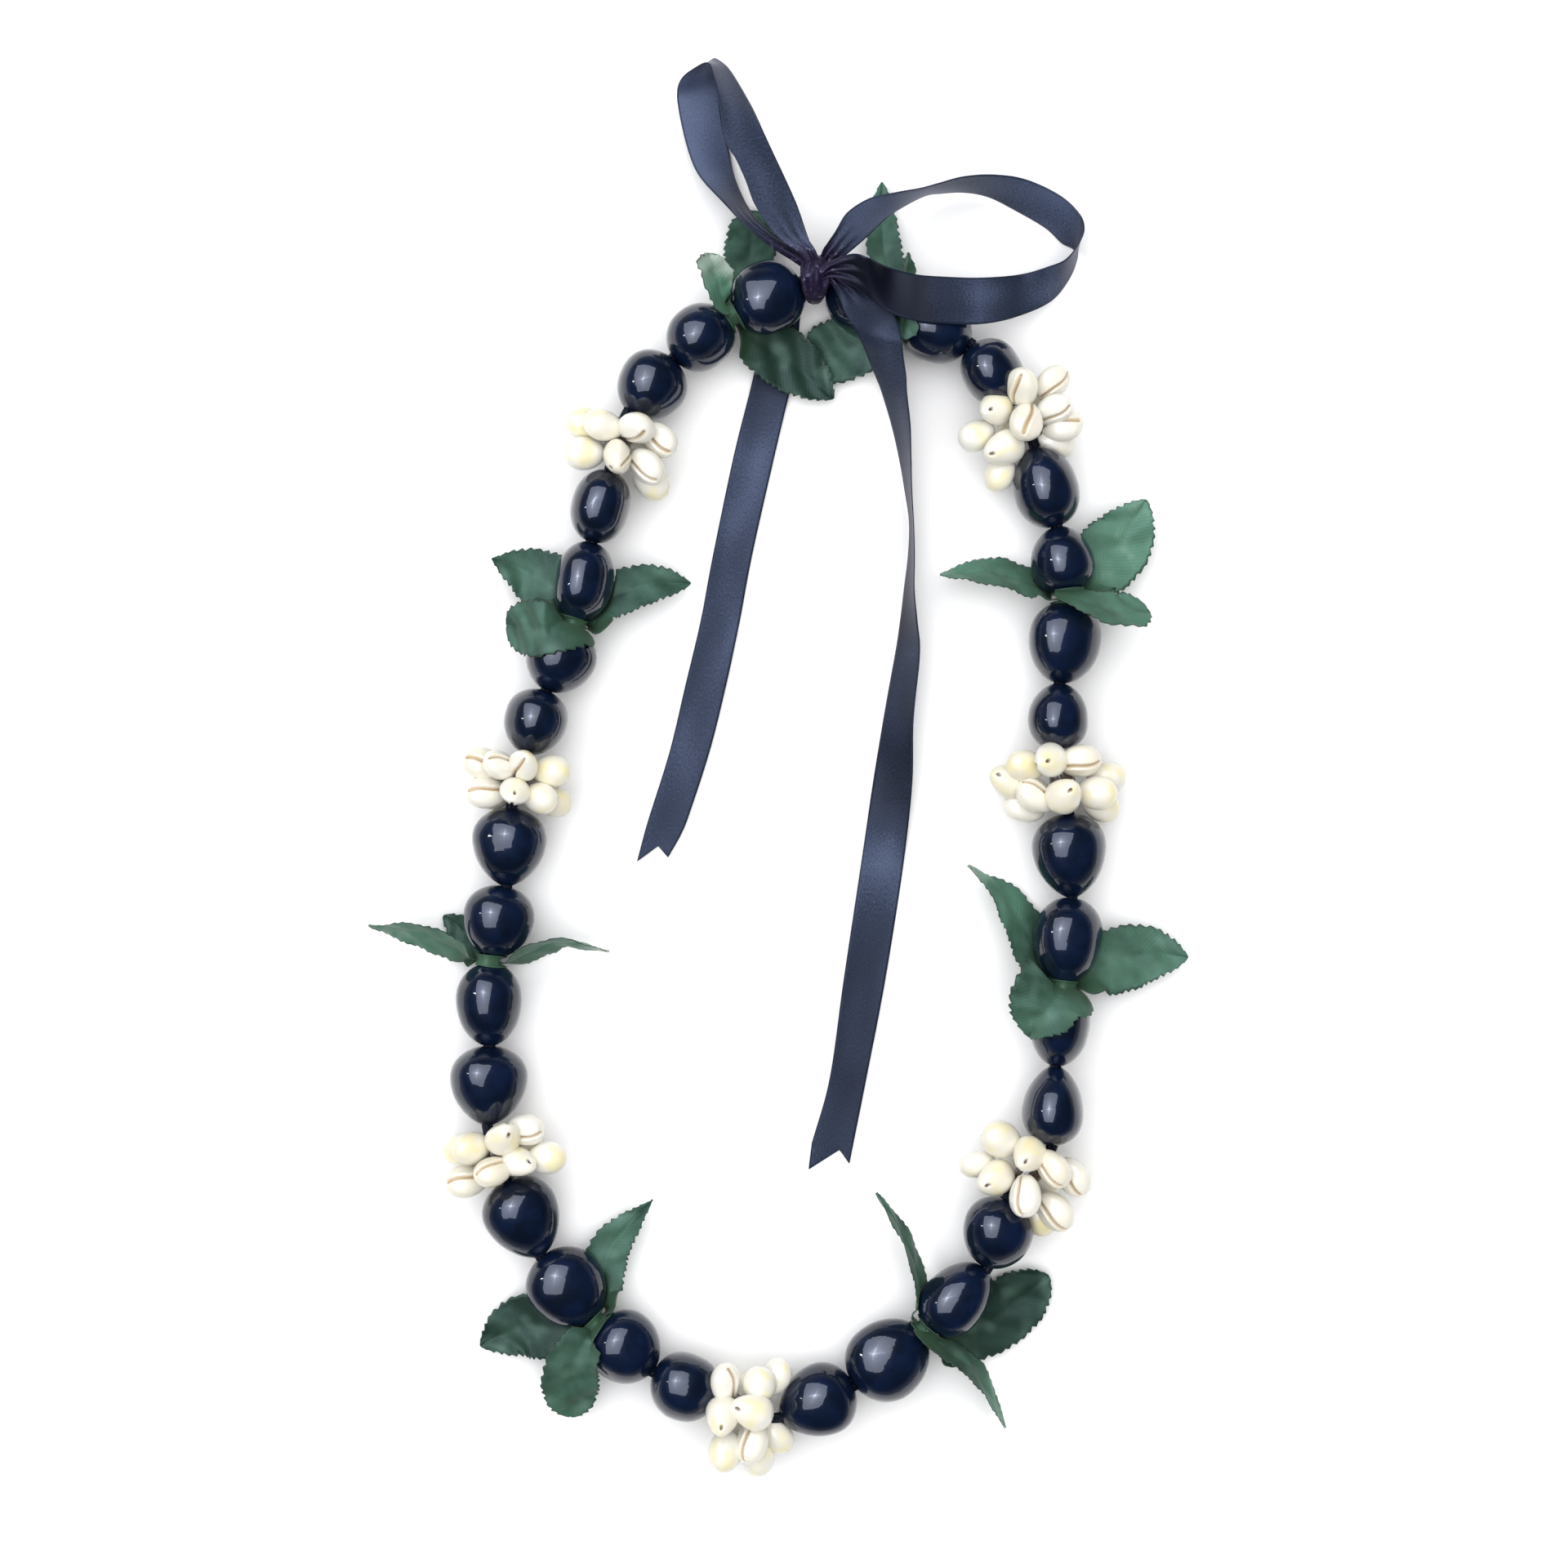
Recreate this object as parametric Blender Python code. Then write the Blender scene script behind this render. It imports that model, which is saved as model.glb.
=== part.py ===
"""A lei of polished kukui nuts, white cowries and cloth leaves, strung on a satin ribbon that ends in a bow.

It lies on a surface at z = 0, with the bow towards +Y.  Lengths here are in millimetres, and the meshes
are made in metres.  Points traced on the photograph are pixels (right, down), turned into millimetres by
on_table(), which allows for how far each point is above the surface.
"""

import math

import bmesh
import bpy
import numpy as np
from mathutils import Matrix, Vector

MM = 0.001

# How the photograph maps to the table, seen from straight above.
PHOTO_CENTRE_PX = (960.0, 960.0)
CENTRE_XY = (1.9, -6.7)
ORIGIN_SHIFT = (-0.3, -3.5, 0.0)
LENS_ABOVE_TABLE = 900.0
MM_PER_PX_AT_NUTS = 0.286
NUT_LEVEL = 13.0

# Nuts and what they are strung on.
NUT_WIDTHS = (
    25.7, 22.9, 24.3, 20.6, 21.2, 24.0, 22.3, 24.9, 25.2, 22.6,
    25.7, 25.2, 26.9, 25.7, 24.3, 24.0, 27.7, 21.7, 24.0, 20.6,
    21.2, 23.7, 25.2, 20.9, 24.9, 21.7, 22.3, 21.7, 22.9, 24.3,
)
# How much narrower each nut is at its second end, in order of travel; below 0 at its first end.
NUT_TAPERS = (
    0.0, -0.2, 1.0, 0.0, 0.0, 1.0, 1.0, 2.0, 1.0, 1.0,
    2.0, 2.0, 1.0, 1.0, 0.0, -2.0, 1.0, 1.0, -1.0, 2.0,
    -1.0, -1.0, -2.0, 1.0, -1.0, 1.0, 1.0, 0.0, 0.0, 0.0,
)
NUT_HEIGHT_AND_WIDTH = 46.5
NUT_AROUND = 10
NUT_RINGS = 8
BORE_RADIUS = 2.6
STRAND_RADIUS = 2.0
STRAND_AROUND = 6
FIRST_NUT_RAISED = 15.4
FLAT_DEPTH = 0.3
CLEAR = 0.3

# String stations, in order from the knot, down the left side and back up the right side.
STATIONS = (
    (9, 169), (-16.5, 157.5), (-37, 142.5), (-53, 123), (-59, 103.5), (-65.5, 78), (-71.5, 49.5),
    (-81.5, 26), (-89, 3.5), (-93.5, -14.5), (-95.5, -42.5), (-101.5, -68.5), (-101.5, -98.5),
    (-102, -127), (-95.5, -145), (-83.5, -172.5), (-64.5, -196), (-44, -213), (-21.0, -223.0),
    (-0.2, -229.0), (26.5, -218), (51.5, -198.5), (73, -176.5), (80.5, -151), (95.5, -134),
    (97, -105.5), (100, -77.5), (103, -46.5), (101.5, -16.5), (97.5, 4.5), (98.5, 28.5),
    (102, 58.5), (97.5, 83.5), (89.5, 112), (82, 128), (67.5, 147.5), (42, 157.5), (16.5, 169),
)
# The station at which each bunch of cowries starts, and those that each leaf sprig is threaded at.
BUNCH_STATIONS = (3, 8, 13, 18, 23, 28, 33)
LEAF_STATIONS = (1, 6, 11, 16, 21, 26, 31, 36)

# Cowries: a core ring round the strand, with two rings of shells growing out of it.
SHELL_LENGTH = 16.0
SHELL_WIDTH = 12.2
SHELL_HEIGHT = 10.6
SHELL_ROOT = 2.9
CORE_RADIUS = 5.0
CORE_LENGTH = 13.0
BUNCH_LEVEL = 14.0
# Which side the slits of a bunch's two rings of shells are on, going round the string.
SLIT_SIDES = ((1, 1), (-1, -1), (1, -1), (1, -1), (-1, -1), (1, -1), (-1, -1))
SHELL_RINGS = (
    (-4.3, -3.5, (-26.0, 18.0, 62.0, 106.0, 152.0, 204.0)),
    (4.3, 3.5, (-22.0, 38.0, 88.0, 136.0, 196.0)),
)

# Leaves: cloth blades growing out of a hub ring.
BLADE = 0.7
HUB_RADIUS = 4.6
HUB_THICKNESS = 1.6
HUB_BORE = 2.4
ROOT_RADIUS = 3.5
LEAF_STEPS = 6
TOOTH = 0.9

# Ribbon.
RIBBON_WIDTH = 15.0
RIBBON_THICKNESS = 0.8
KNOT_CENTRE = (12.8, 168.6, 15.0)
KNOT_HALF_LENGTH = 9.0
# Half of the knot's outline across the string, from its foot to its top: it widens above the nuts.
KNOT_OUTLINE = (
    (0.0, -9.0), (2.5, -8.2), (3.7, -4.5), (3.6, 0.5), (4.1, 4.4), (5.2, 7.8), (4.4, 10.4), (1.8, 11.4),
)

# Leaves that are broad from their root and lie over a nut, by sprig and place in it.
BROAD_LEAVES = ((1, 2), (3, 2), (5, 2), (6, 2))

# Each leaf: route of its midrib in pixels with heights, half-width, roll at base and tip in degrees.
LEAVES = (
    (
        ((896, 385, 14.0), (903, 350, 9.5), (913, 310, 4.5), (925, 258, 2.6), 9.5, 0, 0),
        ((896, 385, 14.0), (888, 364, 20.0), (878, 340, 22.5), (862, 306, 21.0), 9.0, 50, 55),
        ((896, 385, 14.0), (915, 402, 9.5), (962, 440, 5.0), (1021, 488, 4.2), 11.0, 0, 0),
    ),
    (
        ((703, 764, 12.0), (676, 740, 8.5), (643, 704, 5.5), (602, 683, 8.0), 9.5, -8, 10),
        ((703, 764, 12.0), (734, 746, 10.0), (790, 717, 9.5), (846, 714, 6.0), 8.8, -10, -5),
        ((703, 764, 12.0), (698, 768, 20.0), (668, 775, 25.5), (616, 770, 18.5), 11.0, 0, -15),
    ),
    (
        ((598, 1176, 11.0), (568, 1160, 10.5), (515, 1141, 12.0), (451, 1134, 14.0), 8.0, -45, -60),
        ((598, 1176, 11.0), (628, 1160, 11.0), (685, 1149, 12.0), (746, 1166, 6.0), 8.0, 45, 82),
        ((598, 1176, 11.0), (577, 1156, 3.6), (562, 1142, 2.6), (541, 1126, 2.6), 6.0, 0, 0),
    ),
    (
        ((728, 1622, 11.5), (739, 1580, 8.0), (757, 1517, 6.5), (801, 1468, 9.0), 8.0, 0, -25),
        ((728, 1622, 11.5), (695, 1628, 7.0), (640, 1626, 4.0), (588, 1646, 3.0), 10.8, 0, 0),
        ((728, 1622, 11.5), (716, 1650, 15.0), (702, 1690, 11.0), (704, 1733, 6.0), 11.2, 10, 0),
    ),
    (
        ((1131, 1626, 11.5), (1131, 1590, 11.0), (1112, 1525, 12.0), (1074, 1460, 14.0), 8.0, 60, 70),
        ((1131, 1626, 11.5), (1168, 1642, 5.0), (1225, 1612, 2.8), (1281, 1566, 3.0), 11.0, 0, 0),
        ((1131, 1626, 11.5), (1160, 1640, 14.5), (1202, 1680, 11.0), (1232, 1748, 7.0), 8.5, -50, -72),
    ),
    (
        ((1304, 1208, 12.0), (1275, 1180, 8.0), (1243, 1122, 8.0), (1186, 1059, 12.0), 8.5, 5, 35),
        ((1304, 1208, 12.0), (1340, 1190, 7.5), (1398, 1171, 6.0), (1454, 1172, 7.0), 11.4, 0, 0),
        ((1304, 1208, 12.0), (1302, 1213, 24.5), (1274, 1236, 27.5), (1240, 1256, 19.0), 14.0, 0, 0),
    ),
    (
        ((1305, 732, 12.5), (1272, 714, 10.5), (1215, 699, 11.0), (1148, 706, 7.0), 8.5, 50, 62),
        ((1305, 732, 12.5), (1336, 712, 8.0), (1378, 664, 7.0), (1405, 612, 9.0), 10.5, 0, 0),
        ((1305, 732, 12.5), (1320, 733, 20.0), (1352, 742, 21.0), (1403, 757, 13.0), 9.5, -30, -45),
    ),
    (
        ((1100, 386, 13.0), (1095, 350, 8.0), (1086, 300, 4.5), (1080, 223, 3.0), 8.5, 0, 0),
        ((1100, 386, 13.0), (1106, 366, 12.5), (1112, 340, 12.0), (1113, 309, 11.0), 5.5, 50, 60),
        ((1100, 386, 13.0), (1078, 412, 7.0), (1044, 428, 3.4), (1003, 434, 2.2), 10.5, 0, 0),
        ((1100, 386, 13.0), (1102, 394, 19.0), (1110, 399, 21.0), (1123, 402, 20.5), 5.5, 0, 0),
    ),
)

# Ribbon pieces: pixels of one rim, pixels of the other, height of the first rim above the table,
# share of the full width (less than 1 where the ribbon is gathered), and which rim is higher.
TAIL_LEFT = (
    ((979, 350), (988, 363), 7.2, 0.35, 0),
    ((950, 378), (980, 386), 3.0, 0.65, 0),
    ((934, 415), (977, 425), 1.6, 1.0, 0),
    ((925, 450), (972, 458), 1.2, 1.0, 0),
    ((918, 480), (967, 480), 1.0, 1.0, 0),
    ((898, 560), (948, 560), 0.8, 1.0, 0),
    ((873, 680), (921, 680), 0.7, 1.0, 0),
    ((858, 760), (906, 760), 0.7, 1.0, 0),
    ((839, 840), (889, 840), 0.7, 1.0, 0),
    ((820, 920), (869, 920), 0.7, 1.0, 0),
    ((795, 1000), (843, 1000), 0.7, 1.0, 0),
    ((788, 1024), (833, 1024), 0.7, 1.0, 0),
)
TAIL_LEFT_TIPS = ((780, 1055), (806, 1036), (818, 1050))
TAIL_RIGHT = (
    ((1017, 345), (1034, 339), 23.9, 0.42, 0),
    ((1026, 362), (1062, 350), 23.4, 0.75, 0),
    ((1034, 382), (1085, 368), 23.2, 1.0, 0),
    ((1046, 402), (1099, 392), 22.0, 1.0, 0),
    ((1056, 420), (1104, 416), 18.0, 1.0, 1),
    ((1064, 440), (1107, 440), 12.5, 1.0, 1),
    ((1073, 462), (1110, 460), 8.0, 1.0, 1),
    ((1080, 480), (1111, 480), 5.4, 1.0, 1),
    ((1092, 520), (1115, 520), 3.0, 1.0, 1),
    ((1101, 560), (1116, 560), 1.8, 1.0, 1),
    ((1108, 600), (1117, 600), 1.2, 1.0, 1),
    ((1114, 640), (1119, 640), 0.8, 1.0, 1),
    ((1113, 680), (1120, 680), 0.7, 1.0, 1),
    ((1108, 720), (1120, 720), 0.7, 1.0, 1),
    ((1103, 760), (1124, 760), 0.7, 1.0, 1),
    ((1097, 800), (1127, 800), 0.7, 1.0, 1),
    ((1082, 880), (1119, 880), 0.7, 1.0, 1),
    ((1069, 960), (1117, 960), 0.7, 1.0, 1),
    ((1054, 1060), (1106, 1060), 0.7, 1.0, 0),
    ((1033, 1200), (1084, 1200), 0.7, 1.0, 0),
    ((1016, 1320), (1061, 1320), 0.7, 1.0, 0),
    ((994, 1400), (1045, 1400), 0.7, 1.0, 0),
)
TAIL_RIGHT_TIPS = ((990, 1432), (1028, 1408), (1040, 1425))
LOOP_RIGHT = (
    ((1017, 342), (1019, 323), 24.6, 0.42, 1),
    ((1043, 351), (1044, 315), 25.4, 0.74, 1),
    ((1066, 366), (1062, 318), 25.6, 0.97, 1),
    ((1090, 383), (1087, 329), 25.6, 1.0, 1),
    ((1121, 393), (1121, 336), 25.8, 1.0, 1),
    ((1155, 396), (1156, 339), 25.8, 1.0, 1),
    ((1200, 397), (1200, 340), 21.0, 1.0, 1),
    ((1242, 389), (1249, 336), 12.0, 1.0, 1),
    ((1285, 370), (1285, 326), 5.5, 1.0, 1),
    ((1308, 342), (1306, 317), 3.5, 1.0, 1),
    ((1318, 314), (1322, 297), 2.2, 1.0, 1),
    ((1313, 306), (1328, 280), 1.8, 1.0, 1),
    ((1299, 298), (1322, 262), 1.4, 1.0, 1),
    ((1279, 279), (1298, 240), 1.0, 1.0, 1),
    ((1241, 257), (1256, 221), 1.2, 1.0, 1),
    ((1210, 242), (1216, 215), 2.0, 1.0, 1),
    ((1180, 236), (1180, 217), 3.0, 1.0, 1),
    ((1150, 237), (1150, 225), 4.6, 1.0, 1),
    ((1132, 240), (1128, 231), 6.0, 1.0, 1),
    ((1105, 254), (1098, 236), 8.2, 1.0, 1),
    ((1085, 268), (1065, 243), 11.0, 1.0, 1),
    ((1062, 290), (1040, 262), 14.0, 1.0, 1),
    ((1042, 306), (1024, 286), 16.5, 0.7, 1),
    ((1023, 321), (1009, 308), 18.5, 0.42, 1),
)
LOOP_LEFT = (
    ((1004, 309), (988, 306), 21.0, 0.42, 1),
    ((990, 285), (955, 291), 19.8, 0.75, 1),
    ((975, 250), (926, 254), 18.0, 1.0, 1),
    ((960, 216), (913, 222), 16.8, 1.0, 1),
    ((947, 188), (901, 196), 16.0, 1.0, 1),
    ((935, 162), (888, 172), 15.0, 1.0, 1),
    ((920, 130), (880, 122), 10.5, 1.0, 1),
    ((897, 90), (873, 91), 6.0, 1.0, 1),
    ((884, 76), (866, 77), 4.0, 1.0, 1),
    ((873, 72), (850, 84), 2.4, 1.0, 1),
    ((873, 88), (835, 96), 1.6, 1.0, 1),
    ((880, 108), (829, 113), 1.2, 1.0, 0),
    ((884, 144), (833, 146), 1.0, 1.0, 0),
    ((892, 180), (844, 188), 1.4, 1.0, 1),
    ((899, 214), (858, 216), 3.0, 1.0, 1),
    ((914, 249), (888, 249), 6.5, 1.0, 1),
    ((931, 274), (910, 274), 11.0, 0.8, 1),
    ((955, 296), (942, 299), 14.5, 0.55, 1),
    ((980, 311), (971, 317), 17.5, 0.4, 1),
)


def on_table(px, py, z):
    """The point, in millimetres, that is seen at a pixel when it is z above the table."""
    scale = MM_PER_PX_AT_NUTS * (LENS_ABOVE_TABLE - z) / (LENS_ABOVE_TABLE - NUT_LEVEL)
    x = CENTRE_XY[0] + (px - PHOTO_CENTRE_PX[0]) * scale
    y = CENTRE_XY[1] - (py - PHOTO_CENTRE_PX[1]) * scale
    return np.array((x, y, z), float)


def unit(vector):
    vector = np.asarray(vector, float)
    return vector / np.linalg.norm(vector)


def clear_scene():
    for obj in list(bpy.data.objects):
        bpy.data.objects.remove(obj, do_unlink=True)


def material(name, colour, roughness, metallic=0.0):
    made = bpy.data.materials.new(name)
    made.use_nodes = True
    shader = made.node_tree.nodes["Principled BSDF"]
    shader.inputs["Base Color"].default_value = (*colour, 1.0)
    shader.inputs["Roughness"].default_value = roughness
    shader.inputs["Metallic"].default_value = metallic
    made.diffuse_color = (*colour, 1.0)
    return made


def add_object(name, points, faces, surface):
    """A mesh object from points in millimetres, with its faces turned outwards."""
    mesh = bpy.data.meshes.new(name)
    placed = (np.asarray(points) + ORIGIN_SHIFT) * MM
    mesh.from_pydata([tuple(p) for p in placed], [], [tuple(f) for f in faces])
    shape = bmesh.new()
    shape.from_mesh(mesh)
    bmesh.ops.recalc_face_normals(shape, faces=shape.faces)
    shape.to_mesh(mesh)
    shape.free()
    mesh.materials.append(surface)
    obj = bpy.data.objects.new(name, mesh)
    bpy.context.scene.collection.objects.link(obj)
    return obj


def cut_flat(obj, level):
    """Slices off what is below a level, and closes the cut with one flat face."""
    shape = bmesh.new()
    shape.from_mesh(obj.data)
    everything = shape.verts[:] + shape.edges[:] + shape.faces[:]
    cut = bmesh.ops.bisect_plane(
        shape,
        geom=everything,
        dist=1e-7,
        plane_co=Vector((0.0, 0.0, level * MM)),
        plane_no=Vector((0.0, 0.0, -1.0)),
        clear_outer=True,
    )
    rim = [item for item in cut["geom_cut"] if isinstance(item, bmesh.types.BMEdge)]
    if rim:
        bmesh.ops.contextual_create(shape, geom=rim)
    bmesh.ops.recalc_face_normals(shape, faces=shape.faces)
    shape.to_mesh(obj.data)
    shape.free()


def join(base, others):
    """One closed body from shapes that run into each other."""
    group = bpy.data.collections.new("joined")
    bpy.context.scene.collection.children.link(group)
    for other in others:
        bpy.context.scene.collection.objects.unlink(other)
        group.objects.link(other)
    union = base.modifiers.new("join", "BOOLEAN")
    union.operation = "UNION"
    union.operand_type = "COLLECTION"
    union.collection = group
    union.solver = "MANIFOLD"
    graph = bpy.context.evaluated_depsgraph_get()
    joined = bpy.data.meshes.new_from_object(base.evaluated_get(graph))
    base.modifiers.clear()
    base.data = joined
    for other in others:
        bpy.data.objects.remove(other, do_unlink=True)
    bpy.data.collections.remove(group)


def ring_grid(rows):
    """Points and faces of a grid that closes both ways, like a doughnut, from its rows of points."""
    count, around = len(rows), len(rows[0])
    faces = []
    for i in range(count):
        for j in range(around):
            a = i * around + j
            b = i * around + (j + 1) % around
            c = (i + 1) % count * around + (j + 1) % around
            d = (i + 1) % count * around + j
            faces.append((a, b, c, d))
    return np.concatenate(rows), faces


def tube_grid(rows):
    """Points and faces of a tube with a flat cap at each end."""
    count, around = len(rows), len(rows[0])
    faces = []
    for i in range(count - 1):
        for j in range(around):
            k = (j + 1) % around
            faces.append((i * around + j, i * around + k, (i + 1) * around + k, (i + 1) * around + j))
    faces.append(tuple(range(around)))
    faces.append(tuple(range((count - 1) * around, count * around)))
    return np.concatenate(rows), faces


def nut_levels():
    """Height of each string station, from how thick the nuts beside it are."""
    levels = np.zeros(len(STATIONS))
    nuts = nut_spans()
    for station in range(len(STATIONS)):
        beside = [
            (NUT_HEIGHT_AND_WIDTH - NUT_WIDTHS[i]) / 2
            for i, first in enumerate(nuts)
            if station in (first, first + 1)
        ]
        levels[station] = np.mean(beside)
    levels[0] = FIRST_NUT_RAISED
    levels[1] = FIRST_NUT_RAISED - 1.0
    for first in BUNCH_STATIONS:
        levels[first] = (levels[first] + BUNCH_LEVEL) / 2
        levels[first + 1] = (levels[first + 1] + BUNCH_LEVEL) / 2
    return levels


def nut_spans():
    """The first station of each nut: every span of the string that isn't a bunch of cowries."""
    return [i for i in range(len(STATIONS) - 1) if i not in BUNCH_STATIONS]


def string_points():
    levels = nut_levels()
    return np.array([(x, y, z) for (x, y), z in zip(STATIONS, levels)], float)


def end_gap(string, station):
    """How far a nut stops short of a station: more at a bend of the string, and more at a leaf hub."""
    if station in (0, len(string) - 1):
        return 1.3
    before = unit(string[station] - string[station - 1])
    after = unit(string[station + 1] - string[station])
    half_bend = math.acos(min(1.0, float(before @ after))) / 2
    gap = 0.25 + 14.0 * (1 - math.cos(half_bend))
    if station in LEAF_STATIONS:
        gap = max(gap, HUB_THICKNESS / 2 + CLEAR + 0.7 * HUB_RADIUS * math.sin(half_bend))
    if station in BUNCH_STATIONS or station - 1 in BUNCH_STATIONS:
        gap = max(gap, 0.7 + 1.5 * math.sin(half_bend))
    return gap


def nut_radius(t, taper):
    """Radius of a nut, as a share of its widest, at t from -1 at its first end to 1 at its second."""
    round_part = (1 - np.abs(t) ** 2.3) ** 0.5
    return round_part * (1 - 0.10 * taper * t - 0.05 * abs(taper) * t * t)


class Nut:
    """Where one nut is, and its size."""

    def __init__(self, string, index, first):
        a, b = string[first], string[first + 1]
        axis = unit(b - a)
        start = a + axis * end_gap(string, first)
        end = b - axis * end_gap(string, first + 1)
        self.name = f"nut_{index + 1:02d}"
        self.axis = axis
        self.centre = (start + end) / 2
        self.half_length = float(np.linalg.norm(end - start)) / 2
        self.half_width = NUT_WIDTHS[index] / 2
        self.taper = NUT_TAPERS[index]
        self.side = unit(np.cross((0, 0, 1), axis))
        self.up = np.cross(axis, self.side)
        facet = math.cos(math.pi / NUT_AROUND)
        self.half_height = self.centre[2] / facet + FLAT_DEPTH
        if index == 0:
            self.half_height = (NUT_HEIGHT_AND_WIDTH - NUT_WIDTHS[0]) / 2

    def rows(self):
        ts = -np.cos(np.linspace(0, math.pi, NUT_RINGS))
        angles = -math.pi / 2 + math.pi / NUT_AROUND + np.arange(NUT_AROUND) * 2 * math.pi / NUT_AROUND
        rows = []
        for t in ts:
            share = float(nut_radius(t, self.taper))
            wide = max(BORE_RADIUS, self.half_width * share)
            high = max(BORE_RADIUS, self.half_height * share)
            middle = self.centre + self.axis * (t * self.half_length)
            ring = (
                middle
                + np.outer(np.cos(angles) * wide, self.side)
                + np.outer(np.sin(angles) * high, self.up)
            )
            rows.append(ring)
        return rows

    def press_clear(self, points, gap):
        """Points that are inside the nut, or nearer to it than gap, moved straight out of it."""
        moved = points.copy()
        offset = points - self.centre
        along = offset @ self.axis
        across = offset @ self.side
        above = offset @ self.up
        t = along / (self.half_length + gap)
        inside = np.abs(t) < 1
        share = np.maximum(nut_radius(np.clip(t, -0.999, 0.999), self.taper), 0.2)
        wide = self.half_width * share + gap
        high = self.half_height * share + gap
        reach = np.sqrt((across / wide) ** 2 + (above / high) ** 2)
        hit = inside & (reach < 1)
        scale = np.where(hit, 1 / np.maximum(reach, 0.15), 1.0)
        moved += np.outer(across * (scale - 1), self.side)
        moved += np.outer(above * (scale - 1), self.up)
        return moved


def make_nuts(nuts, surface):
    for nut in nuts:
        points, faces = ring_grid(nut.rows())
        obj = add_object(nut.name, points, faces, surface)
        cut_flat(obj, 0.0)


def make_strand(string, surface):
    """The gathered ribbon inside the bores: a tube that is straight from station to station."""
    route = string.copy()
    route[0] += unit(string[1] - string[0]) * 1.9
    route[-1] += unit(string[-2] - string[-1]) * 1.9
    rows = []
    angles = np.arange(STRAND_AROUND) * 2 * math.pi / STRAND_AROUND
    for i, point in enumerate(route):
        ahead = unit(route[min(i + 1, len(route) - 1)] - route[max(i - 1, 0)])
        if 0 < i < len(route) - 1:
            ahead = unit(unit(route[i + 1] - point) + unit(point - route[i - 1]))
        side = unit(np.cross((0, 0, 1), ahead))
        up = np.cross(ahead, side)
        rows.append(
            point + STRAND_RADIUS * (np.outer(np.cos(angles), side) + np.outer(np.sin(angles), up))
        )
    points, faces = tube_grid(rows)
    add_object("strand", points, faces, surface)


def shell_shape(root, outward, face, length, width, height):
    """One cowrie: egg-shaped, flatter on the side of its slit, which is a groove from end to end."""
    across = np.cross(outward, face)
    rings, around = 3, 7
    points = [root]
    for u in (0.18, 0.54, 0.88):
        share = math.sqrt(max(0.0, 1 - (2 * u - 1) ** 2)) * (0.90 + 0.22 * u)
        for j in range(around):
            angle = 2 * math.pi * j / around
            lift = math.cos(angle) * height / 2 * share
            if lift > 0:
                lift *= 0.82
            if j == 0:
                lift -= 1.3 * min(1.0, 4 * u * (1 - u) + 0.3)
            spread = math.sin(angle) * width / 2 * share
            points.append(root + outward * (u * length) + face * lift + across * spread)
    points.append(root + outward * length)
    faces = [(0, 1 + (j + 1) % around, 1 + j) for j in range(around)]
    for i in range(rings - 1):
        for j in range(around):
            k = (j + 1) % around
            a, b = 1 + i * around, 1 + (i + 1) * around
            faces.append((a + j, a + k, b + k, b + j))
    last = len(points) - 1
    a = 1 + (rings - 1) * around
    faces += [(a + j, a + (j + 1) % around, last) for j in range(around)]
    return np.array(points), faces


def shell_places(string, index):
    """Root, outward direction and slit direction of every shell of one bunch."""
    first = BUNCH_STATIONS[index]
    a, b = string[first], string[first + 1]
    axis = unit(b - a)
    middle = (a + b) / 2
    side = unit(np.cross((0, 0, 1), axis))
    up = np.cross(axis, side)
    chance = np.random.default_rng(40 + index)
    places = []
    for (shift, lean, turns), slit_side in zip(SHELL_RINGS, SLIT_SIDES[index]):
        for turn in turns:
            turn = turn + chance.uniform(-5, 5)
            lean_now = math.radians(lean + chance.uniform(-3, 3))
            length = SHELL_LENGTH * chance.uniform(0.94, 1.05)
            for _ in range(12):
                angle = math.radians(turn)
                radial = side * math.cos(angle) + up * math.sin(angle)
                outward = unit(radial * math.cos(lean_now) + axis * math.sin(lean_now))
                root = middle + axis * shift + radial * SHELL_ROOT
                tip = root + outward * length * 0.7
                if tip[2] - SHELL_WIDTH * 0.46 > 0.3 and (root + outward * length)[2] > 1.5:
                    break
                turn += 2.5 if math.cos(angle) > 0 else -2.5
            face = unit(np.cross(axis, radial)) * slit_side
            face = unit(face - outward * float(face @ outward))
            places.append((root, outward, face, length))
    return places, axis, middle, side, up


def make_bunches(string, surface):
    for index in range(len(BUNCH_STATIONS)):
        places, axis, middle, side, up = shell_places(string, index)
        angles = np.arange(8) * 2 * math.pi / 8
        rows = []
        for along, radius in ((-1, HUB_BORE), (-1, CORE_RADIUS), (1, CORE_RADIUS), (1, HUB_BORE)):
            rim = np.outer(np.cos(angles), side) + np.outer(np.sin(angles), up)
            rows.append(middle + axis * (along * CORE_LENGTH / 2) + rim * radius)
        points, faces = ring_grid(rows)
        bunch = add_object(f"cowries_{index + 1}", points, faces, surface)
        shells = []
        for root, outward, face, length in places:
            points, faces = shell_shape(root, outward, face, length, SHELL_WIDTH, SHELL_HEIGHT)
            shells.append(add_object("shell", points, faces, surface))
        join(bunch, shells)
        cut_flat(bunch, 0.0)


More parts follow.
